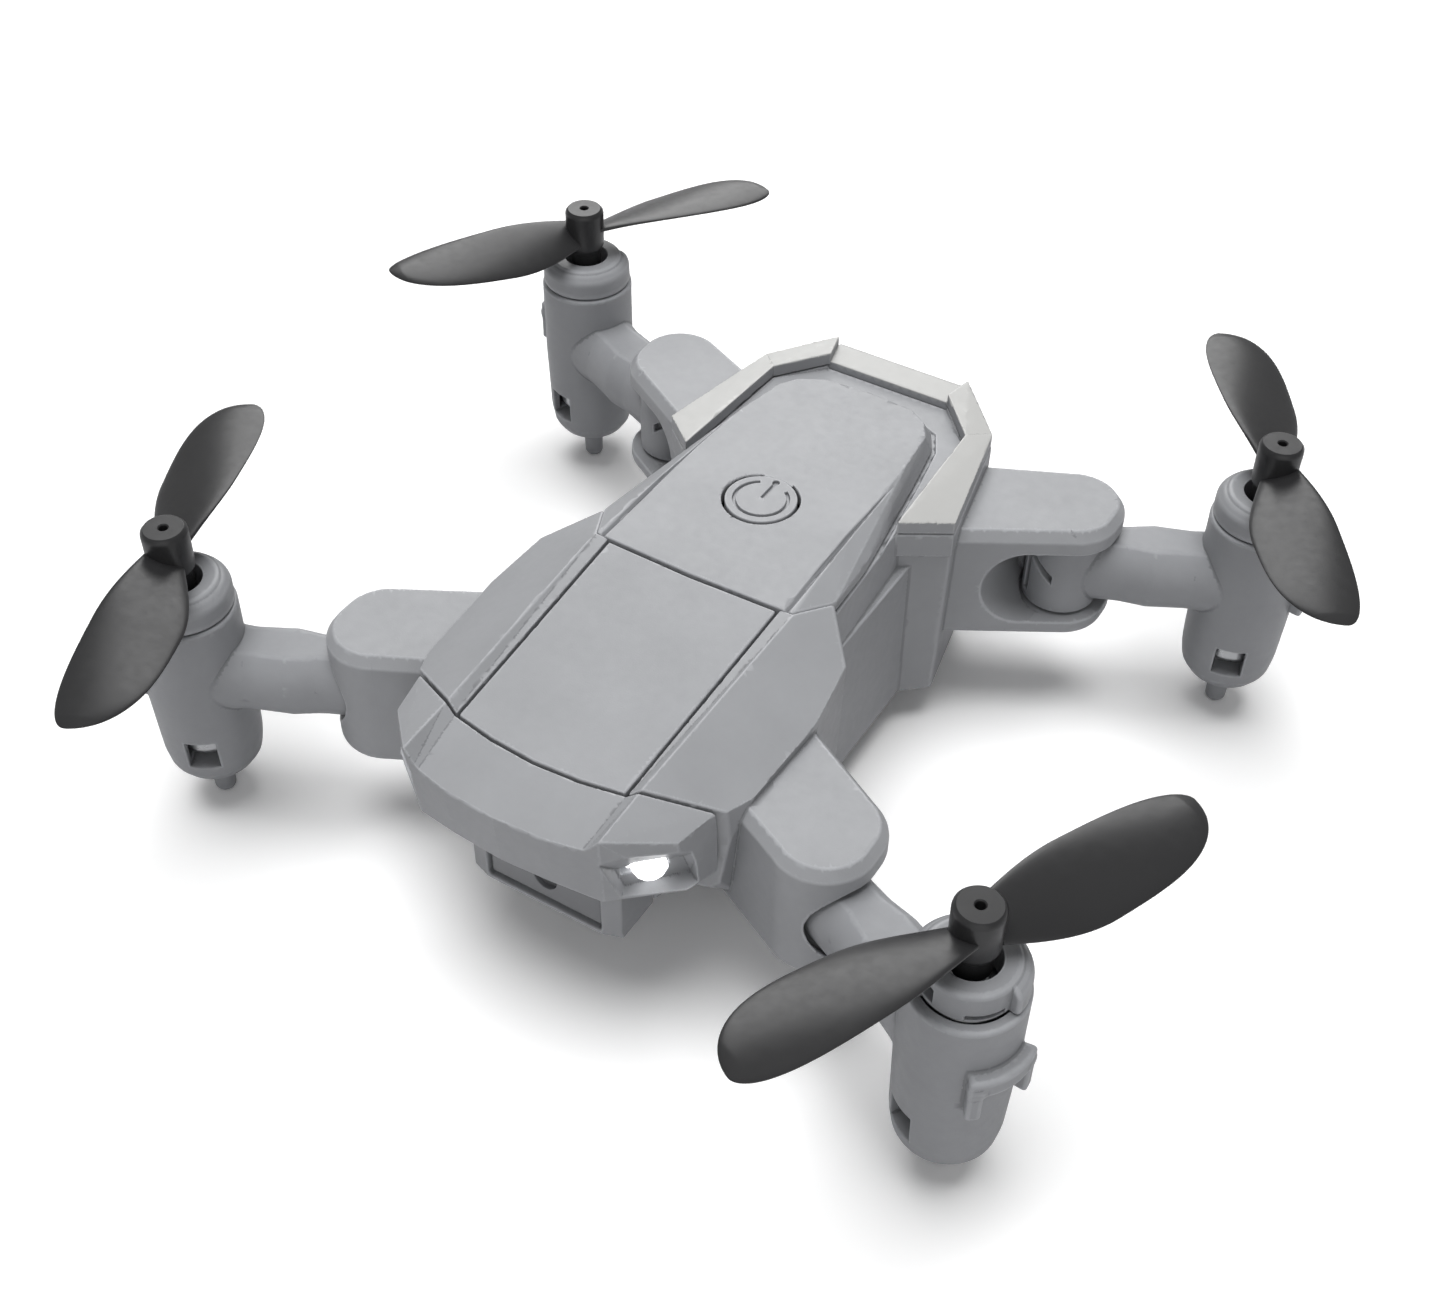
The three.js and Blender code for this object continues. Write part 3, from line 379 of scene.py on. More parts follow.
joints = {j["name"]: j for j in frame["joints"]}
SIDES = {"front_left": (1, -1), "front_right": (-1, -1), "rear_left": (1, 1), "rear_right": (-1, 1)}
front_hinge, rear_hinge, front_motor, rear_motor = (
    [c / MM for c in joints[n]["pos_m"]]
    for n in ("fold_front_left", "fold_rear_left", "spin_front_left", "spin_rear_left"))
MIDDLE_Y = (front_motor[1] + rear_motor[1]) / 2  # all shapes are drawn with y counted from here
PIVOT_X, PIVOT_Y = front_hinge[0], (rear_hinge[1] - front_hinge[1]) / 2
MOTOR_X, MOTOR_Y = front_motor[0], (rear_motor[1] - front_motor[1]) / 2
ARM_Z = front_hinge[2]
ARM_LENGTH = math.hypot(MOTOR_X - PIVOT_X, MOTOR_Y - PIVOT_Y)
ARM_ANGLE = math.atan2(MOTOR_Y - PIVOT_Y, MOTOR_X - PIVOT_X)

SHOULDER_RADIUS, SHOULDER_TOP, SHOULDER_BOTTOM = 4.6, 23.0, 10.5
ARM_HALF_WIDTH, ARM_HALF_HEIGHT, ARM_ROOM = 3.2, 3.8, 0.4
KNUCKLE_RADIUS, PIN_RADIUS = 3.6, 1.0
BELLY, LEDGE, TRAY, TAIL_Y = 4.2, 20.8, 25.2, 31.5
CHIN_FRONT, CHIN_BACK, CHIN_BOTTOM, CHIN_TOP, CHIN_HALF = -31.8, -26.6, 7.4, 16.7, 7.8
BUTTON_Y, BUTTON_RADIUS, BUTTON_NECK, DECK_TOP = 3.6, 3.3, 1.5, 28.0
POD_LEDGE, POD_RADIUS, BORE_RADIUS, BORE_FLOOR = 23.4, 4.8, 3.8, 7.2
CAP_TOP, CAP_RADIUS, CAP_COLLAR, CAP_HOLE = 26.4, 3.8, 4.65, 2.3
TRIM_DEPTH, TRIM_GAP = 1.3, 0.15

RIDGE_NOSE, RIDGE_SEAM, RIDGE_DECK = (9.34, -36.33, 25.61), (9.36, -30.55, 26.03), (10.04, -8.13, 27.66)
STRIP_NOSE, STRIP_SEAM, STRIP_DECK = (7.93, -36.58, 23.99), (8.36, -30.8, 25.27), (8.78, -8.14, 27.49)
FRONT_SEAM = [(0, -31.7), (4.3, -31.45), (8.36, -30.8), (9.36, -30.55), (14.65, -27.53), (20, -24.5)]
DECK_SEAM = [(0, -8.35), (10.04, -8.1), (11.95, -4.22), (16, 4.07)]


def rest_angle(x, y):
    return y * ARM_ANGLE if x > 0 else math.pi - y * ARM_ANGLE


def behind(seam):
    """Everything behind a seam line that runs outwards and back on both sides."""
    sides = sides_of(seam)
    return lambda p: past(sides, np.abs(p[0]), p[1]) + 0 * p[2]


BEHIND_FRONT, BEHIND_DECK = behind(FRONT_SEAM), behind(DECK_SEAM)


def along_y(a, b, y):
    t = (y - a[1]) / (b[1] - a[1])
    return (a[0] + t * (b[0] - a[0]), y, a[2] + t * (b[2] - a[2]))


def strip_channel(strip, ridge, y0, y1):
    points = []
    for y in (y0, y1):
        s, r = along_y(*strip, y), along_y(*ridge, y)
        points += [s, r, (r[0], y, r[2] + 6)]
    return hull(both(points), 0.05)


NOSE_CHANNEL = strip_channel((STRIP_NOSE, STRIP_SEAM), (RIDGE_NOSE, RIDGE_SEAM), -40, -30.8)
MIDDLE_CHANNEL = strip_channel((STRIP_SEAM, STRIP_DECK), (RIDGE_SEAM, RIDGE_DECK), -33, -6)

# ---- the body's shapes

WINDOW_HALF, WINDOW_ZS = 5.9, (7.8, 16.1)
LAMP_AT, LAMP_YAW = (11.75, -33.8, 20.6), math.radians(-42.3)


def lamp_box(xs, ys, zs, edge=0.1):
    """Box in a lamp's own frame: x out of the lamp, y along the nose corner, z up."""
    return moved(box(xs, ys, zs, edge), LAMP_AT, LAMP_YAW)


def nose_cover():
    outside = hull(both([
        (0, -37.5, 25.7), (5, -37.2, 25.65), RIDGE_NOSE, RIDGE_SEAM, (9.36, -29, 26.1),
        (13.7, -31.9, 23.9), (14.65, -27.53, 23.98), (14.5, -31.6, 18.4), (15.1, -28, 17.6),
        (9.1, -35.5, 17.5), (5, -36.4, 18.2), (0, -36.7, 18.2),
    ]))
    inside = hull(both([
        (0, -35.7, 22.4), (6.6, -34.9, 22.4), (7, -27, 23.6), (11.4, -29, 22),
        (0, -35.3, 19.4), (6.6, -34.2, 19.4), (12.4, -27, 19.4),
    ]))
    floor, rim = -1.5, 1.0
    pocket = hull([(floor, -2.0, -0.1), (floor, 3.6, -0.2), (floor, 4.2, -2.2), (floor, -1.2, -2.35),
                   (rim, -5.2, 4.7), (rim, 4.3, 3.0), (rim, 4.7, -2.1), (rim, -2.5, -2.45)], 0.1)
    led_room = lamp_box((-3.4, -1.9), (-1.6, 2.9), (-2.1, 1.4), 0.1)
    side_gap = lamp_box((-3, 0), (-1.5, 0), (-1.1, -0.1), 0.1)
    pockets = mirrored(fuse(0, moved(pocket, LAMP_AT, LAMP_YAW), led_room, side_gap, shield(-3, 0, 0.08)))
    shell = carve(0.1, common(0.18, outside, offset(flip(BEHIND_FRONT), -SEAM / 2)), NOSE_CHANNEL)
    return carve(0.12, shell, inside, pockets)


def camera_housing():
    corner, turned_back = 1.8, 0.6
    outside = hull(both([
        (CHIN_HALF - corner, CHIN_FRONT, CHIN_BOTTOM), (CHIN_HALF - corner, CHIN_FRONT, CHIN_TOP),
        (CHIN_HALF, CHIN_FRONT + turned_back, CHIN_BOTTOM), (CHIN_HALF, CHIN_FRONT + turned_back, CHIN_TOP),
        (CHIN_HALF, -30.2, CHIN_TOP), (CHIN_HALF, CHIN_BACK, 12.5), (CHIN_HALF, CHIN_BACK, CHIN_BOTTOM),
    ]), 0.15)
    opening = box((-WINDOW_HALF, WINDOW_HALF), (CHIN_FRONT - 2, CHIN_FRONT + 1.9), WINDOW_ZS, 0.4)
    hollow = box((-4, 4), (CHIN_FRONT, CHIN_BACK + 1), (9, 12.4))
    room = box((-3, 3), (CHIN_FRONT, -27.6), (9, 14.4))
    return carve(0.2, outside, opening, hollow, room)


def shoulder(y_side):
    """One left shoulder: round about its pivot, with a bevel along its top."""
    front = y_side < 0
    roots = [(12.4, -24.17), (12.4, -13.2)] if front else [(10.2, 11.47), (10.2, 23.36)]
    ends = (-112, 61) if front else (-59, 114)
    pivot = (PIVOT_X, y_side * PIVOT_Y)
    tips = [(pivot[0] + SHOULDER_RADIUS * math.cos(math.radians(a)),
             pivot[1] + SHOULDER_RADIUS * math.sin(math.radians(a))) for a in ends]
    deeper = 1.1
    roots[1], tips[1] = (roots[1][0], roots[1][1] + deeper), (tips[1][0], tips[1][1] + deeper)
    sides = sides_of([roots[0], tips[0], tips[1], roots[1], roots[0]])
    inset, drop = 0.75, 1.05
    slope = math.hypot(inset, drop)

    def plan(p):
        beyond = p[1] - pivot[1]
        disc = np.hypot(p[0] - pivot[0], beyond - np.clip(beyond, 0, deeper)) - SHOULDER_RADIUS
        return np.minimum(disc, past(sides, p[0], p[1]))

    def field(p):
        side = plan(p)
        bevel = ((side + inset) * drop + (p[2] - SHOULDER_TOP) * inset) / slope
        d = smooth_max(side, bevel, 0.12)
        d = smooth_max(d, p[2] - SHOULDER_TOP, 0.12)
        d = smooth_max(d, (SHOULDER_BOTTOM - p[2]) * 0.75 + side * 0.66 + 0.25, 0.3)
        return smooth_max(d, SHOULDER_BOTTOM - p[2], 0.3)
    reach = SHOULDER_RADIUS + 0.2
    low = (10, min(pivot[1], roots[0][1]) - reach, SHOULDER_BOTTOM)
    high = (pivot[0] + reach, max(pivot[1], roots[1][1]) + reach + deeper, SHOULDER_TOP)
    return within(low, high, field)


def arm_room(y_side):
    """The room in a left shoulder that its arm sweeps from open to folded."""
    pivot = (PIVOT_X, y_side * PIVOT_Y)
    half = ARM_HALF_HEIGHT + ARM_ROOM
    open_angle, folded = y_side * ARM_ANGLE, -y_side * math.pi / 2
    wide = ARM_HALF_WIDTH + ARM_ROOM
    bars = [oval_bar((*pivot, ARM_Z), open_angle, wide, half, 14),
            oval_bar((*pivot, ARM_Z), folded, wide, half, 14),
            oval_bar((*pivot, ARM_Z), folded, wide, half, 14, -y_side * 1.3)]
    well = cylinder(pivot, KNUCKLE_RADIUS + GAP, (ARM_Z - half, ARM_Z + half), 0)

    def sweep(p):
        x, y = p[0] - pivot[0], p[1] - pivot[1]
        sides = [(-y_side) * (x * math.sin(a) - y * math.cos(a)) * s
                 for a, s in ((open_angle, 1), (folded, -1))]
        d = np.maximum(reduce(np.maximum, sides), np.hypot(x, y) - 15)
        return np.maximum(d, np.abs(p[2] - ARM_Z) - half)
    low = (PIVOT_X - 6, pivot[1] - 15, ARM_Z - half)
    high = (PIVOT_X + 15, pivot[1] + 15, ARM_Z + half)
    return within(low, high, fuse(0, well, sweep, *bars))


COLLAR_SIDE = [(11.23, 8.7, 26.55), (15.32, 12.55, 25.6), (12.61, 25.92, 26.1), (10.59, 23.98, 26.5)]
COLLAR_CORNER = [(12.61, 25.92, 26.1), (10.59, 23.98, 26.5), (6.5, 28.4, 27), (7.2, 31.4, 27.1)]
COLLAR_BAR = [(-7, 28.4, 26), (7, 28.4, 26), (7.1, TAIL_Y, 26.2), (-7.1, TAIL_Y, 26.2)]


def collar(above, depth, grow, edge):
    """The collar round the tail, from a height above its top to a depth below it."""
    shapes = []
    for patch in (COLLAR_SIDE, COLLAR_CORNER, COLLAR_BAR):
        centre = np.mean(patch, axis=0)[:2]
        grown = []
        for x, y, z in patch:
            reach = math.hypot(x - centre[0], y - centre[1])
            grown.append((x + grow * (x - centre[0]) / reach, y + grow * (y - centre[1]) / reach, z))
        shapes.append(hull(slab(raised(grown, above), above + depth), edge))
    return mirrored(fuse(0.1, *shapes))


def deck_foot(grow):
    z = TRAY + 0.1 - grow
    return [(11.9 + grow, -9, z), (11.5 + grow, 2.5, z), (10.3 + grow, 10, z), (9.3 + grow, 17, z),
            (8.5 + grow, 21.5, z), (7.2 + grow, 23.8 + grow, z), (4.9, 24.9 + grow, z), (0, 25.2 + grow, z)]


def main_shell():
    middle = hull(both([
        (9.32, -33, 25.85), RIDGE_DECK, (11.95, -4.22, 26.74), (13.6, -31.5, 24.1), (14.65, -27.53, 23.98),
        (16.1, -24.5, 23.6), (16.5, -15.2, 24.2), (15.7, -8.7, 25), (13, -3.6, 20), (12.9, -3.5, 8),
        (12.2, -3.5, BELLY), (14.9, -29, 17.6), (13.8, -30.5, 17.6), (14.6, -24.3, 11), (12.4, -19, BELLY),
    ]))
    keel = hull(both([(CHIN_HALF, CHIN_BACK + GAP, CHIN_BOTTOM), (CHIN_HALF, CHIN_BACK + GAP, 14.5),
                      (CHIN_HALF, -18, BELLY), (CHIN_HALF, -18, 19)]))
    lower = box((-12.3, 12.3), (-5, 14), (BELLY, LEDGE), 0.2)
    upper = hull(both([(11.9, -4.6, TRAY), (11.5, 3.2, TRAY), (10.9, 14, TRAY),
                       (12.3, -4.6, LEDGE - 1), (11.1, 14, LEDGE - 1)]), 0.12)
    plan = [(11.1, 9), (12.9, 10.8), (15.3, 12.8), (12.7, 25.9), (7.2, TAIL_Y)]
    tail = hull(both([(x, y, TRAY) for x, y in plan] + [(x - 0.5, y, BELLY) for x, y in plan]))
    rim = [along_y(STRIP_SEAM, STRIP_DECK, y) for y in (-33, -7.6)]
    pocket = hull(both(raised(rim, -1.5) + raised(rim, 0.5)), 0)
    middle = common(0.15, middle, offset(BEHIND_FRONT, -SEAM / 2))
    middle = carve(0.1, middle, MIDDLE_CHANNEL, pocket)
    outside = fuse(0.15, middle, keel, lower, upper, tail, collar(0, 4, 0, 0.1),
                   mirrored(shoulder(-1)), mirrored(shoulder(1)))
    foot = deck_foot(GAP)
    seat = common(0, hull(both(foot + raised(foot, 6)), 0.1), offset(BEHIND_DECK, -SEAM / 2))
    low = hull(both([(10.4, y, z) for y in (-17.5, 25) for z in (BELLY - 1, 19)]))
    front = hull(both([(6, -24.2, 8.8), (6, -16, 6.5), (6, -24.6, 13), (6, -28, 17.2),
                       (11.2, -26, 17.6), (11.2, -25, 21.8), (11.2, -16, 21.8)]))
    high = hull(both([(9.4, -27, 18), (9.4, 22, 18), (7, -36, 20), (7, -36, 23), (7.4, -27, 24.1),
                      (7.4, 22, 24.6)]))
    openings = [
        box((-7.2, 7.2), (-6.5, 22), (23, 27)), box((-7.2, 7.2), (-32, -6), (22, 30)),
        box((-2.5, 2.5), (-28, -23), (9.5, 12)), box((-5.9, 5.9), (20, TAIL_Y + 1), (7.9, 18.5), 0.4),
        collar(2, TRIM_DEPTH + TRIM_GAP, 0.25, 0.05),
    ]
    rooms = [mirrored(arm_room(side)) for side in (-1, 1)]
    pins = [mirrored(cylinder((PIVOT_X, side * PIVOT_Y), PIN_RADIUS + 0.25, (SHOULDER_BOTTOM - 1, 22.1), 0))
            for side in (-1, 1)]
    return carve(0.15, outside, seat, low, front, high, *openings, *rooms, *pins)


def top_panel():
    rim = [along_y(STRIP_SEAM, STRIP_DECK, y) for y in (-33, -6)]
    narrow = [(x - SEAM, y, z) for x, y, z in rim]
    plate = hull(both(slab(narrow, 1.2)), 0.2)
    return common(0.15, plate, offset(BEHIND_FRONT, -SEAM / 2), offset(flip(BEHIND_DECK), -SEAM / 2))


def button_hole(zs):
    """The hole for the button in the deck: open all round but for a tongue towards the tail."""
    snug = cylinder((0, BUTTON_Y), BUTTON_RADIUS + 0.02, zs, 0)
    loose = cylinder((0, BUTTON_Y), BUTTON_RADIUS + GAP, zs, 0)
    far = BUTTON_Y + 2 * BUTTON_RADIUS
    tongue = box((-BUTTON_NECK, BUTTON_NECK), (BUTTON_Y, far), (zs[0] - 1, zs[1] + 1), 0)
    return fuse(0, snug, carve(0, loose, tongue))


def rear_deck():
    top = [(9.4, -9, 27.55), (9.15, 3.2, DECK_TOP), (8.7, 15, 27.7), (8.0, 20.6, 27.35), (6.9, 22.5, 27.3),
           (4.8, 23.9, 27.2), (0, 24.3, 27.15), (0, 3.2, DECK_TOP)]
    line = [RIDGE_DECK, (11.95, -4.22, 26.74), (11.3, 3.2, 26.2)]
    outside = hull(both(deck_foot(0) + top + line), 0.45)
    inside = hull(both([(7.6, -12, 24), (7.6, -12, 26.1), (7.4, 3.2, 26.5), (7.4, 3.2, 24), (6.4, 21, 24),
                        (6.4, 21, 25.9)]))
    groove = mirrored(hull([(9.05, -9, 27.8), (9.75, -9, 27.9), (9.4, -9, 27.2),
                            (8.95, 12, 28.2), (9.2, 12, 28.2), (9.05, 12, 27.6)], 0.05))
    return carve(0.08, common(0.15, outside, offset(BEHIND_DECK, -SEAM / 2)), groove, inside,
                 button_hole((24, 30)))


def power_button():
    top = DECK_TOP - 0.03
    plate = cylinder((0, BUTTON_Y), BUTTON_RADIUS, (top - 1.1, top), 0.12)
    stem = cylinder((0, BUTTON_Y), 1.4, (24.9, top - 1))
    ring_radius, half = 2.45, 0.17

    def groove(p):
        x, y = p[0], p[1] - BUTTON_Y
        ring = np.abs(np.hypot(x, y) - ring_radius) - half
        middle, reach = math.radians(88.5), math.radians(33.5)  # of the gap in the ring
        off = (x * math.cos(middle) + y * math.sin(middle)) - np.hypot(x, y) * math.cos(reach)
        ring = np.maximum(ring, off)
        bar = np.maximum(np.abs(x) - half, np.abs(y - 1.45) - 1.3)
        end = np.hypot(x, y - 2.7) - 2 * half
        return np.maximum(np.minimum(np.minimum(ring, bar), end), top - 0.35 - p[2])
    return carve(0.05, fuse(0, plate, stem), groove)


# ---- shapes of an arm, in its hinge's own frame


def arm_tube(p):
    x, y, z = p
    along = [0, 5.5, 8.2, 12, ARM_LENGTH - 1]
    half_width = np.interp(x, along, [3.1, 3.2, 3.65, 3.6, 4.2]).astype(np.float32)
    half_height = np.interp(x, along, [3.8, 3.8, 4.05, 3.8, 3.9]).astype(np.float32)
    oval = (np.hypot(y / half_width, (z - ARM_Z) / half_height) - 1) * 3.4
    oval = smooth_max(oval, z - ARM_Z - 3.4, 0.12)
    return np.maximum(oval, between(x, 0, ARM_LENGTH - 1))


def round_pod(radius, turn, z):
    return (ARM_LENGTH + radius * math.cos(turn), radius * math.sin(turn), z)


def guard_clip():
    """The hook on the outer side of a pod: an arched rail with a short leg at each end."""
    rail_end, leg_start = 33, 21  # degrees to either side of straight out
    rail_z, leg_z, arc_radius = 17.9, 16, 5.4

    def field(p):
        x, y, z = p[0] - ARM_LENGTH, p[1], p[2]
        angle = np.abs(np.degrees(np.arctan2(y, x)))
        rail = np.abs(np.hypot(x, y) - 5.35) - 0.6
        rail = smooth_max(rail, (angle - rail_end) * DEGREE * arc_radius, 0.3)
        bar = smooth_max(rail, np.abs(z - rail_z) - 0.9, 0.4)
        legs = smooth_max(rail, (leg_start - angle) * DEGREE * arc_radius, 0.3)
        return smooth_min(bar, smooth_max(legs, np.abs(z - leg_z) - 1.8, 0.3), 0.3)
    return within((ARM_LENGTH, -6, 14), (ARM_LENGTH + 6.2, 6, 19), field)


def knuckle_slots():
    """A sloping slot and an upright groove in the back of a hinge knuckle."""
    slot_at, groove_at = 134, 160  # degrees round the hinge

    def field(p):
        angle = np.degrees(np.arctan2(p[1], p[0]))
        slope = np.abs(p[2] - ARM_Z - 2.2 + (groove_at - angle) * 0.045) - 0.45
        slot = np.maximum(slope, np.abs(angle - slot_at) * DEGREE * KNUCKLE_RADIUS - 1.5)
        groove = np.abs(angle - groove_at) * DEGREE * KNUCKLE_RADIUS - 0.4
        groove = np.maximum(groove, np.abs(p[2] - ARM_Z) - 3)
        r = np.hypot(p[0], p[1])
        return np.maximum(np.minimum(slot, groove), np.maximum(2.9 - r, r - 4.2))
    return within((-4, -1, 12), (2, 4.5, 21), field)


def arm_frame():
    axis = (ARM_LENGTH, 0)
    pod = turned(axis, [(0, 3.9), (2.2, 3.95), (3.5, 4.5), (4.25, 5.6), (4.55, 7.4), (POD_RADIUS, 15),
                        (POD_RADIUS, POD_LEDGE), (0, POD_LEDGE)], 0.35)
    foot = turned(axis, [(0, 0), (0.75, 0), (1.0, 0.45), (1.1, 4.5), (0, 4.5)], 0.3)
    knuckle = cylinder((0, 0), KNUCKLE_RADIUS, (ARM_Z - 3.9, ARM_Z + 3.9), 0.3)
    body = fuse(0.12, fuse(0.35, pod, foot), within((-1, -5, 11), (ARM_LENGTH, 5, 21), arm_tube))
    body = fuse(0.25, fuse(0.15, body, knuckle), guard_clip())
    bore = cylinder(axis, BORE_RADIUS, (BORE_FLOOR, 30), 0.2)
    pin = cylinder((0, 0), PIN_RADIUS + 0.1, (5, 25), 0)
    slots = [moved(box((-2, 2), (-1.4, 1.4), (-1.6, 1.6), 0.15), round_pod(4.2, turn, 8.6), turn)
             for turn in (math.radians(98), math.radians(-98))]
    return carve(0.15, body, bore, pin, knuckle_slots(), *slots)


def motor_cap():
    axis = (ARM_LENGTH, 0)
    base = POD_LEDGE + 0.05
    plug = turned(axis, [(0, base), (CAP_RADIUS, base), (CAP_RADIUS, CAP_TOP - 0.25),
                         (CAP_RADIUS - 0.25, CAP_TOP), (0, CAP_TOP)], 0.3)
    wide = turned(axis, [(0, base), (CAP_COLLAR, base), (CAP_COLLAR - 0.05, CAP_TOP - 1),
                         (CAP_COLLAR - 0.75, CAP_TOP - 0.2), (0, CAP_TOP - 0.2)], 0.5)

    def sector(p):
        x, y = p[0] - ARM_LENGTH, p[1]
        middle, half = math.radians(-45), math.radians(55)
        lean = np.hypot(x, y) * math.cos(half) - (x * math.cos(middle) + y * math.sin(middle))
        return lean + 0 * p[2]
    turn = math.radians(-93)
    notch = moved(box((-0.8, 0.8), (-0.6, 0.6), (-0.75, 0.75), 0.1), round_pod(3.75, turn, 24.7), turn)
    turn = math.radians(-20)
    slit = moved(box((-0.7, 0.7), (-1.5, 1.5), (-0.28, 0.28), 0.1), round_pod(3.8, turn, 23.9), turn)
    body = fuse(0.1, plug, carve(0.3, wide, sector))
    return carve(0.12, body, cylinder(axis, CAP_HOLE, (20, 30), 0), notch, slit)


# ---- smaller pieces


def camera_window():
    front, back = CHIN_FRONT + 0.4, CHIN_FRONT + 1.5
    low, high = WINDOW_ZS
    play, eye_z = 0.12, 10.4
    plate = box((play - WINDOW_HALF, WINDOW_HALF - play), (front, back), (low + play, high - play), 0.3)

    def eye(p):
        side = np.hypot(p[0], p[2] - eye_z) - 1.15
        return smooth_max(side, np.abs(p[1] - front) - 0.55, 0.1)
    return carve(0.06, plate, eye)


def camera_module():
    y = CHIN_FRONT + 1.9
    lens_z = 12.3

    def ring(radius, y0, y1, edge=0.12):
        def field(p):
            side = np.hypot(p[0], p[2] - lens_z) - radius
            return smooth_max(side, between(p[1], y0, y1), edge)
        return field
    block = box((-2.5, 2.5), (CHIN_FRONT + 3.2, -28), (lens_z - 2.6, lens_z + 1.7))
    body = fuse(0.1, block, ring(1.8, y + 0.7, y + 1.8), ring(1.3, y, y + 1))
    return carve(0.08, body, ring(0.8, y - 1, y + 0.35))


def shield(x0, x1, grow=0.0, dome=0.0):
    """The lamp's outline, flat above and pointed below, between two depths of the lamp's frame."""
    outline = [(-1.4, 1.15), (1.4, 1.15), (1.7, 0.3), (1.15, -0.8), (0.4, -1.3),
               (-0.4, -1.3), (-1.15, -0.8), (-1.7, 0.3)]
    scale, shear, y_middle, z_middle = 0.92, 0.16, 0.8, -0.7
    points = []
    for x, share in ((x0, 1.0), (x1 - dome, 1.0), (x1, 1.0 - dome)):
        size = scale * share * (1 + grow)
        points += [(x, y_middle + y * size, z_middle + (z - shear * y) * size) for y, z in outline]
    return moved(hull(points, 0.25), LAMP_AT, LAMP_YAW)


def lamp_lens():
    return shield(-2.1, -0.7, dome=0.35)


def lamp_led():
    body = lamp_box((-3.1, -2.6), (-0.8, 2.4), (-1.8, 0.6), 0.2)
    bulb = lamp_box((-2.8, -2.25), (-0.2, 1.8), (-1.5, 0.2), 0.5)
    return fuse(0.15, body, bulb)


SCREW_X, SCREW_YS = 8.6, (-15.2, 16.0)


def belly_cover():
    plate = box((-10, 10), (-17.2, 24.6), (BELLY, BELLY + 1.4), 0.25)
    tools = []
    for x in (-SCREW_X, SCREW_X):
        for y in SCREW_YS:
            tools += [cylinder((x, y), 0.9, (0, 10), 0), cylinder((x, y), 1.6, (0, BELLY + 0.6), 0.1)]
    return carve(0.12, plate, *tools)


def belly_screw(x, y):
    head = turned((x, y), [(0, BELLY - 0.1), (0.9, BELLY - 0.1), (1.3, BELLY + 0.15),
                           (1.3, BELLY + 0.45), (0, BELLY + 0.45)], 0.15)
    shank = cylinder((x, y), 0.6, (BELLY + 0.3, BELLY + 3), 0.15)
    slots = [box((x - a, x + a), (y - b, y + b), (0, BELLY + 0.15), 0.1)
             for a, b in ((0.9, 0.15), (0.15, 0.9))]
    return carve(0.05, fuse(0.08, head, shank), *slots)


def main_board():
    board = box((-8.1, 8.1), (-24, 14), (19.6, 20.8), 0.1)
    chips = [box((-3, 3), (-12, -6), (20.7, 21.7), 0.2), box((-4, 4), (-20, -16), (20.7, 22.6), 0.2)]
    for i in range(6):
        y = -3.5 + 2.6 * i
        chips.append(box((-6.6, -5.2), (y, y + 1.1), (20.7, 21.3), 0.1))
        chips.append(box((5.0, 6.8), (y, y + 1.4), (20.7, 21.2), 0.1))
    return fuse(0.05, board, *chips)


def button_switch():
    housing = box((-2.2, 2.2), (BUTTON_Y - 2.2, BUTTON_Y + 2.2), (21.1, 22.9), 0.25)
    return fuse(0.1, housing, cylinder((0, BUTTON_Y), 1.1, (22.8, 23.9), 0.2))


def battery_pack():
    bottom, top, half = 8.2, 18.2, 5.6
    pack = box((-half, half), (-8, TAIL_Y - 1.2), (bottom, top), 0.9)
    end = box((0.1 - half, half - 0.1), (TAIL_Y - 1.6, TAIL_Y + 0.3), (bottom + 0.1, top - 0.1), 0.35)
    grips = [box((x - 0.5, x + 0.5), (TAIL_Y, TAIL_Y + 1), (bottom + 2, top - 2), 0.2)
             for x in (-3, -1.5, 0, 1.5, 3)]
    return carve(0.15, fuse(0.15, pack, end), *grips)


def motor_can():
    axis = (ARM_LENGTH, 0)
    low, high = BORE_FLOOR + GAP, POD_LEDGE - 0.3
    can = turned(axis, [(0, low), (2.6, low), (3.5, low + 0.5), (3.5, high), (0, high)], 0.4)
    boss = cylinder(axis, 1.6, (high - 1, high + 0.9), 0.15)
    return carve(0.1, fuse(0.1, can, boss), cylinder(axis, 0.9, (0, 40), 0))


def hinge_pin():
    return cylinder((0, 0), PIN_RADIUS, (SHOULDER_BOTTOM + 0.1, SHOULDER_TOP - 1.2), 0.3)


def motor_shaft():
    return cylinder((0, 0), 0.5, (14, 30.8), 0.15)


# ---- propellers

BLADE_ROOT, BLADE_RADIUS, BLADE_CHORD, ROOT_CHORD = 1.2, 21.5, 7.4, 3.6
BLADE_THICKNESS, BLADE_Z, BLADE_RISE, HUB_BASE, HUB_TOP = 0.75, 29.15, 0.25, 25.2, 32.0
BLADE_HEADINGS = {"front_left": 65, "front_right": 114, "rear_left": 123, "rear_right": 57}


def blade_chord(share):
    widest, bluntness = 0.42, 3.4
    rising = ROOT_CHORD + (BLADE_CHORD - ROOT_CHORD) * np.sin(math.pi / 2 * np.minimum(share / widest, 1))
    beyond = np.maximum(share - widest, 0) / (1 - widest)
    falling = BLADE_CHORD * np.sqrt(np.maximum(1 - beyond ** bluntness, 0))
    return np.where(share < widest, rising, falling)


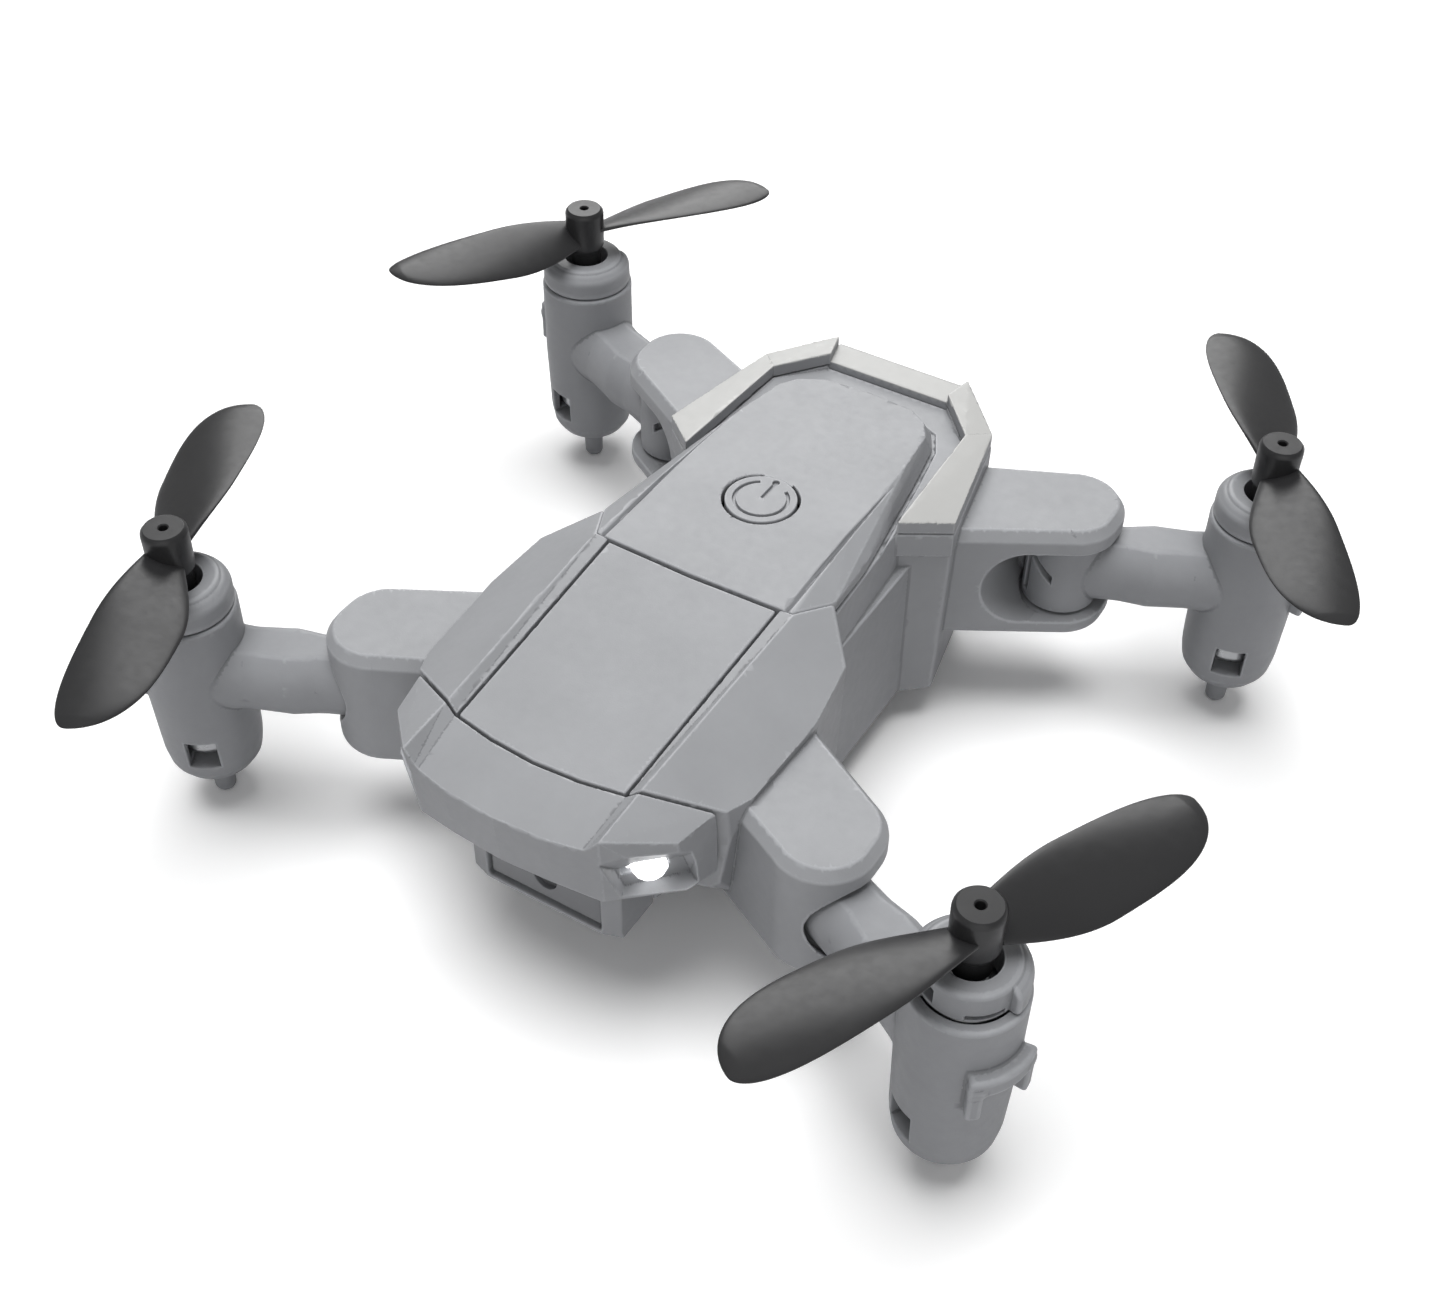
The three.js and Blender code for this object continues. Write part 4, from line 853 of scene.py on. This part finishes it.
def lofted(rings):
    """Closed points and faces through rings that have the same number of points."""
    count, size = rings.shape[:2]
    i, j = np.meshgrid(np.arange(count - 1), np.arange(size), indexing="ij")
    k = (j + 1) % size
    sides = np.stack([i * size + j, i * size + k, (i + 1) * size + k, (i + 1) * size + j], 2).reshape(-1, 4)
    ends = np.stack([np.arange(size)[::-1], (count - 1) * size + np.arange(size)])
    return rings.reshape(-1, 3), [sides, ends]


def blade(heading, spin):
    """One blade: twisted, cambered, thin at its rim."""
    t = np.linspace(0, 1, 72)
    share = 1 - (1 - t) ** 1.7
    share[-1] = 0.9995
    a = np.linspace(0, 2 * math.pi, 48, endpoint=False)
    radius = (BLADE_ROOT + (BLADE_RADIUS - BLADE_ROOT) * share)[:, None]
    chord = blade_chord(share)[:, None]
    pitch = np.radians(24 - 26 * share)[:, None]
    thickness = (BLADE_THICKNESS * (1 - 0.45 * share) * np.minimum(1, (1 - share) * 14 + 0.25))[:, None]
    blunt = 0.7
    flat = chord / 2 * np.cos(a)
    thick = thickness / 2 * np.sign(np.sin(a)) * np.abs(np.sin(a)) ** blunt + 0.04 * chord * np.sin(a) ** 2
    across = spin * (flat * np.cos(pitch) - thick * np.sin(pitch) - 0.19 * (chord - ROOT_CHORD))
    up = flat * np.sin(pitch) + thick * np.cos(pitch) + BLADE_Z + BLADE_RISE * share[:, None]
    c, s = math.cos(math.radians(heading)), math.sin(math.radians(heading))
    rings = np.stack([radius * c - across * s, radius * s + across * c, up + 0 * radius], axis=2)
    return lofted(rings)


def hub():
    """The propeller's hub, bored for the shaft, with a small hole in its top."""
    low, top = HUB_BASE, HUB_TOP
    profile = [(0.6, low), (1.45, low), (1.6, low + 0.15), (1.62, low + 1.9), (1.7, low + 2.1),
               (1.9, low + 2.5), (1.97, low + 2.7), (2.02, top - 0.55), (1.98, top - 0.3),
               (1.78, top - 0.05), (1.7, top), (0.5, top), (0.4, top - 0.1), (0.4, top - 1),
               (0.6, top - 1.1)]
    turns = np.linspace(0, 2 * math.pi, 72, endpoint=False)
    r, z = np.array(profile).T
    across = [np.outer(turn, r) for turn in (np.cos(turns), np.sin(turns))]
    points = np.stack([*across, np.broadcast_to(z, across[0].shape)], 2)
    size = len(profile)
    i, j = np.meshgrid(np.arange(len(turns)), np.arange(size), indexing="ij")
    n, k = (i + 1) % len(turns), (j + 1) % size
    faces = np.stack([i * size + j, n * size + j, n * size + k, i * size + k], 2)
    return points.reshape(-1, 3), [faces.reshape(-1, 4)]


def joined(name, place, parts):
    """One closed mesh object from parts, each given as points and faces, united."""
    objects = []
    for i, (points, faces) in enumerate(parts):
        objects.append(new_piece(f"{name}_part_{i}", points, outward(points, faces), place=place))
    first = objects[0]
    for other in objects[1:]:
        union = first.modifiers.new("union", "BOOLEAN")
        union.operation, union.solver, union.object = "UNION", "MANIFOLD", other
    graph = bpy.context.evaluated_depsgraph_get()
    mesh = bpy.data.meshes.new_from_object(first.evaluated_get(graph))
    for o in objects:
        bpy.data.objects.remove(o)
    mesh.name = name
    mesh.polygons.foreach_set("use_smooth", [True] * len(mesh.polygons))
    mesh.set_sharp_from_angle(angle=math.radians(32))
    return in_scene(name, mesh)


# ---- finishes


def blank(name):
    material = bpy.data.materials.new(name)
    material.use_nodes = True
    return material.node_tree, material, material.node_tree.nodes["Principled BSDF"]


def fill(socket, value):
    """Sets an input of a node, or links it where the value is a socket."""
    if isinstance(value, bpy.types.NodeSocket):
        socket.id_data.links.new(value, socket)
    else:
        socket.default_value = value


def fill_all(node, inputs):
    for key, value in inputs.items():
        fill(node.inputs[key], value)


def add(tree, kind, inputs=None, **settings):
    node = tree.nodes.new("ShaderNode" + kind)
    for key, value in settings.items():
        setattr(node, key, value)
    fill_all(node, inputs or {})
    return node


def noise(tree, place, size_mm, detail=2.0, rough=0.5):
    """Noise with features of about a size."""
    return add(tree, "TexNoise", {"Vector": place, "Scale": 1 / (size_mm * MM), "Detail": detail,
                                  "Roughness": rough}).outputs["Fac"]


def remap(tree, value, low, high, to_low=0.0, to_high=1.0):
    node = add(tree, "MapRange", {"Value": value, "From Min": low, "From Max": high, "To Min": to_low,
                                  "To Max": to_high})
    return node.outputs["Result"]


def times(tree, a, b):
    return add(tree, "Math", {0: a, 1: b}, operation="MULTIPLY").outputs[0]


def blend_colour(tree, share, a, b):
    node = tree.nodes.new("ShaderNodeMix")
    node.data_type = "RGBA"
    sockets = [s for s in node.inputs if s.type == "RGBA"]
    for socket, value in ((node.inputs[0], share), (sockets[0], a), (sockets[1], b)):
        fill(socket, value)
    return next(s for s in node.outputs if s.type == "RGBA")


def rough_up(tree, shader, height, strength, depth_mm):
    """Bump on a finish."""
    bump = add(tree, "Bump", {"Height": height, "Strength": strength, "Distance": depth_mm * MM})
    fill(shader.inputs["Normal"], bump.outputs["Normal"])


def shade(colour, by=1.0):
    return tuple(min(1.0, c * by) for c in colour[:3]) + (1.0,)


def moulded(name, colour, rough, grain=0.25, vary=0.05, wear_and_highlight_strength=0.5, metal=0.0, coat=0.0, tint=None):
    """Moulded or painted plastic: fine grain, faint flow marks, edges lighter from wear and a painted
    highlight, creases darkened with painted shade.
    """
    tree, material, shader = blank(name)
    place = add(tree, "TexCoord").outputs["Object"]
    broad = noise(tree, place, 9, 3)
    patch = noise(tree, place, 0.9, 3, 0.6)
    fine = noise(tree, place, 0.13, 2, 0.6)
    edge = add(tree, "Attribute", attribute_name="edge").outputs["Fac"]
    base = blend_colour(tree, remap(tree, broad, 0.3, 0.7), shade(colour, 1 - vary), shade(colour, 1 + vary))
    base = blend_colour(tree, times(tree, remap(tree, patch, 0.35, 0.7), vary), base, shade(colour, 0.6))
    if tint:
        up = add(tree, "SeparateXYZ", {0: add(tree, "NewGeometry").outputs["Normal"]}).outputs["Z"]
        base = blend_colour(tree, remap(tree, up, 0.25, 0.45), shade(tint), base)
    # edges lighter: partly wear, partly a painted highlight along the rounded edges
    wear_and_highlight = times(tree, remap(tree, edge, 0.15, 0.8), remap(tree, patch, 0.25, 0.75, 0.35, 1.0))
    base = blend_colour(tree, times(tree, wear_and_highlight, wear_and_highlight_strength), base, shade(colour, 1.6))
    # painted shade: creases and recesses darkened where shade falls
    crease_shade = times(tree, remap(tree, edge, -0.1, -0.7), 0.55)
    base = blend_colour(tree, crease_shade, base, shade(colour, 0.45))
    uneven = remap(tree, patch, 0.3, 0.7, rough - 0.05, rough + 0.05)
    smoother = add(tree, "Math", {0: uneven, 1: times(tree, wear_and_highlight, 0.12)}, operation="SUBTRACT")
    rough_up(tree, shader, fine, grain, 0.03)
    fill_all(shader, {"Base Color": base, "Roughness": smoother.outputs[0], "Metallic": metal,
                      "Coat Weight": coat, "Coat Roughness": 0.12})
    return material


def machined(name, colour, rough):
    """Turned steel: fine rings round each part, small scratches."""
    tree, material, shader = blank(name)
    place = add(tree, "TexCoord").outputs["Object"]
    squeezed = add(tree, "Mapping", {"Vector": place, "Scale": (0.05, 0.05, 1.0)}).outputs["Vector"]
    lines = noise(tree, squeezed, 0.08, 2)
    patch = noise(tree, place, 1.2, 3)
    base = blend_colour(tree, patch, shade(colour, 0.85), shade(colour, 1.08))
    uneven = remap(tree, patch, 0.3, 0.7, rough - 0.06, rough + 0.08)
    rough_up(tree, shader, lines, 0.25, 0.02)
    fill_all(shader, {"Base Color": base, "Roughness": uneven, "Metallic": 1.0})
    return material


def lit_lens(name):
    """A lit lamp, faintly ribbed."""
    tree, material, shader = blank(name)
    place = add(tree, "TexCoord").outputs["Object"]
    ribs = noise(tree, place, 0.5, 2)
    fill_all(shader, {"Base Color": (0.92, 0.93, 0.95, 1), "Roughness": 0.15,
                      "Emission Strength": remap(tree, ribs, 0.3, 0.7, 1.6, 2.4),
                      "Emission Color": (1.0, 1.0, 1.0, 1)})
    rough_up(tree, shader, ribs, 0.2, 0.05)
    return material


BODY = (0.32, 0.326, 0.34)
FINISHES = {
    "body_plastic": moulded("body_plastic", BODY, 0.42),
    "arm_plastic": moulded("arm_plastic", (0.29, 0.296, 0.31), 0.42),
    "silver_trim": moulded("silver_trim", (0.47, 0.47, 0.46), 0.45, 0.12, 0.02, 0.25, 0.1, tint=BODY),
    "propeller_plastic": moulded("propeller_plastic", (0.024, 0.024, 0.025), 0.33, 0.05, 0.05, 0.3),
    "dark_window": moulded("dark_window", (0.18, 0.185, 0.195), 0.14, 0.03, 0.05, 0.2, coat=0.6),
    "clear_lens": lit_lens("clear_lens"),
    "white_lamp": lit_lens("white_lamp"),
    "steel": machined("steel", (0.62, 0.63, 0.64), 0.3),
    "circuit_board": moulded("circuit_board", (0.02, 0.12, 0.06), 0.4, 0.4, 0.2, 0.6),
    "battery_wrap": moulded("battery_wrap", (0.03, 0.031, 0.034), 0.35, 0.2, 0.1, 0.4),
    "black_plastic": moulded("black_plastic", (0.018, 0.018, 0.02), 0.45, 0.3, 0.1, 0.4),
}

# ---- making the pieces

SLOTS = {s["node"]: s["material_slot"] for s in frame["record"]["subparts"]}
BODY_OF = {node: body for body, nodes in frame["record"]["behaviour"]["bodies"].items() for node in nodes}
AT_REST = Matrix.Translation((0, MIDDLE_Y, 0))
OTHER_SIDE = AT_REST @ Matrix.Diagonal((-1, 1, 1, 1))


def shown(node, obj):
    obj.data.materials.clear()
    obj.data.materials.append(FINISHES[SLOTS[node]])
    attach(obj, BODY_OF[node])
    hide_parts(node)


def build(shape, extent, placed, voxel=None, adaptivity=ADAPT):
    """Makes one surface and a piece of it for each (node, place)."""
    surface = surfaced(shape, *extent, voxel, adaptivity)
    for node, place in placed:
        shown(node, new_piece("look_" + node, *surface, place))


def alone(node):
    return [(node, AT_REST)]


def arm_place(name):
    x, y = SIDES[name]
    turn = Matrix.Rotation(rest_angle(x, y), 4, "Z") @ Matrix.Diagonal((1, -x * y, 1, 1))
    return AT_REST @ Matrix.Translation((x * PIVOT_X, y * PIVOT_Y, 0)) @ turn


def for_arms(kind):
    return [(f"{kind}_{name}", arm_place(name)) for name in SIDES]


build(main_shell(), ((-27.2, -34, 4), (27.2, 32, 28)), alone("main_shell"))
build(nose_cover(), ((-16, -38, 16.8), (16, -26, 26.5)), alone("nose_cover"), adaptivity=FINE_ADAPT)
build(top_panel(), ((-9, -32.5, 23), (9, -7.5, 28)), alone("top_panel"))
build(rear_deck(), ((-12.5, -9, 24.5), (12.5, 26.5, 28.5)), alone("rear_deck"))
build(collar(0, TRIM_DEPTH, 0, 0.12), ((-16, 8, 24), (16, 32, 27.5)), alone("tail_trim"))
build(power_button(), ((-3.5, 0, 24.5), (3.5, 8.5, 28.5)), alone("power_button"), 0.08)
build(camera_housing(), ((-8.1, -33, 7), (8.1, -26, 17.2)), alone("camera_housing"))
build(camera_window(), ((-6.2, -32.4, 7.5), (6.2, -30, 16.4)), alone("camera_window"), 0.1)
build(camera_module(), ((-3, -31, 9), (3, -27.5, 14.5)), alone("camera_module"))
LAMP_BOX = ((7, -38, 17.6), (16, -30, 23))
for maker, node in ((lamp_lens, "lamp_lens"), (lamp_led, "lamp_led")):
    build(maker(), LAMP_BOX, [(node + "_left", AT_REST), (node + "_right", OTHER_SIDE)], 0.08)
build(belly_cover(), ((-10.5, -18, 3.9), (10.5, 25, 6)), alone("belly_cover"))
build(main_board(), ((-8.5, -24.5, 19.2), (8.5, 14.5, 23)), alone("main_board"))
build(button_switch(), ((-2.5, 1, 20.8), (2.5, 6.2, 24.2)), alone("button_switch"))
build(battery_pack(), ((-6, -8.5, 7.8), (6, 32.2, 18.6)), alone("battery_pack"))
for i, (x, y, _) in enumerate(both([(SCREW_X, y, 0) for y in SCREW_YS]), 1):
    low, high = (x - 1.6, y - 1.6, BELLY - 0.4), (x + 1.6, y + 1.6, BELLY + 3.2)
    build(belly_screw(x, y), (low, high), alone(f"belly_screw_{i}"), 0.08)

build(arm_frame(), ((-4, -6, -0.3), (ARM_LENGTH + 6.5, 6, 23.8)), for_arms("arm"), 0.11)
build(motor_cap(), ((ARM_LENGTH - 5, -5, 23.4), (ARM_LENGTH + 5, 5, 26.8)), for_arms("motor_cap"), 0.09)
build(motor_can(), ((ARM_LENGTH - 4, -4, 7), (ARM_LENGTH + 4, 4, 24.5)), for_arms("motor_can"))
build(hinge_pin(), ((-1.3, -1.3, 10), (1.3, 1.3, 22.4)), for_arms("hinge_pin"))
for name, (x, y) in SIDES.items():
    motor = AT_REST @ Matrix.Translation((x * MOTOR_X, y * MOTOR_Y, 0))
    build(motor_shaft(), ((-0.8, -0.8, 13.5), (0.8, 0.8, 31.2)), [(f"motor_shaft_{name}", motor)])
    heading = BLADE_HEADINGS[name]
    blades = [blade(heading, x), blade(heading + 180, x)]
    node = f"propeller_{name}"
    shown(node, joined("look_" + node, motor, [hub(), *blades]))

# ---- floor, light and camera


def pale_floor():
    """A white floor that throws less light back up than it shows."""
    tree, material, shader = blank("pale_floor")
    seen = add(tree, "LightPath").outputs["Is Camera Ray"]
    lighting, looking = (0.62, 0.62, 0.63, 1), (1.15, 1.15, 1.15, 1)
    fill_all(shader, {"Base Color": blend_colour(tree, seen, lighting, looking), "Roughness": 0.9,
                      "Specular IOR Level": 0.1})
    half = 3000.0  # mm
    points = np.array([(-half, -half, 0), (half, -half, 0), (half, half, 0), (-half, half, 0)])
    floor = new_piece("floor", points, [np.array([[0, 1, 2, 3]])])
    floor.data.materials.append(material)


def lamp(name, kind, energy, at, size=None, angle=None, shines=True, lights=True):
    """A light at a place in mm, aimed at the drone's middle; it may only shine on gloss, or only light."""
    data = bpy.data.lights.new(name, kind)
    data.energy = energy
    if size:
        data.shape, data.size = "DISK", size * MM
    if angle:
        data.angle = math.radians(angle)
    obj = in_scene(name, data)
    obj.location = Vector(at) * MM
    obj.rotation_euler = (Vector((0, 0, 10 * MM)) - obj.location).to_track_quat("-Z", "Y").to_euler()
    obj.visible_diffuse = lights
    obj.visible_glossy = shines


def studio():
    scene = bpy.context.scene
    scene.view_settings.view_transform = "Standard"
    world = bpy.data.worlds.new("studio")
    world.use_nodes = True
    back = world.node_tree.nodes["Background"]
    seen = add(world.node_tree, "LightPath").outputs["Is Camera Ray"]
    strength = remap(world.node_tree, seen, 0, 1, 0.25, 1.0)  # white to the eye, dimmer as a light
    fill_all(back, {"Color": (1, 1, 1, 1), "Strength": strength})
    scene.world = world
    lamp("overhead", "SUN", 2.85, (-25, 5, 400), angle=45, shines=False)
    lamp("front_fill", "SUN", 0.42, (190, -330, 150), angle=60)
    lamp("back_softbox", "AREA", 1.3, (-210, 350, 300), size=420, lights=False)
    pale_floor()


def camera():
    data = bpy.data.cameras.new("camera")
    data.sensor_width = 36
    data.lens = 46.5
    data.clip_start = 0.01
    obj = in_scene("camera", data)
    obj.location = Vector((64.55, -111.14 + MIDDLE_Y, 132.99)) * MM
    aim = Vector((-3.5, 3.0 + MIDDLE_Y, 8.0)) * MM - obj.location
    roll = Matrix.Rotation(math.radians(1.02), 4, "Z")
    obj.rotation_euler = (aim.to_track_quat("-Z", "Y").to_matrix().to_4x4() @ roll).to_euler()
    bpy.context.scene.camera = obj


studio()
camera()
bpy.context.view_layer.update()
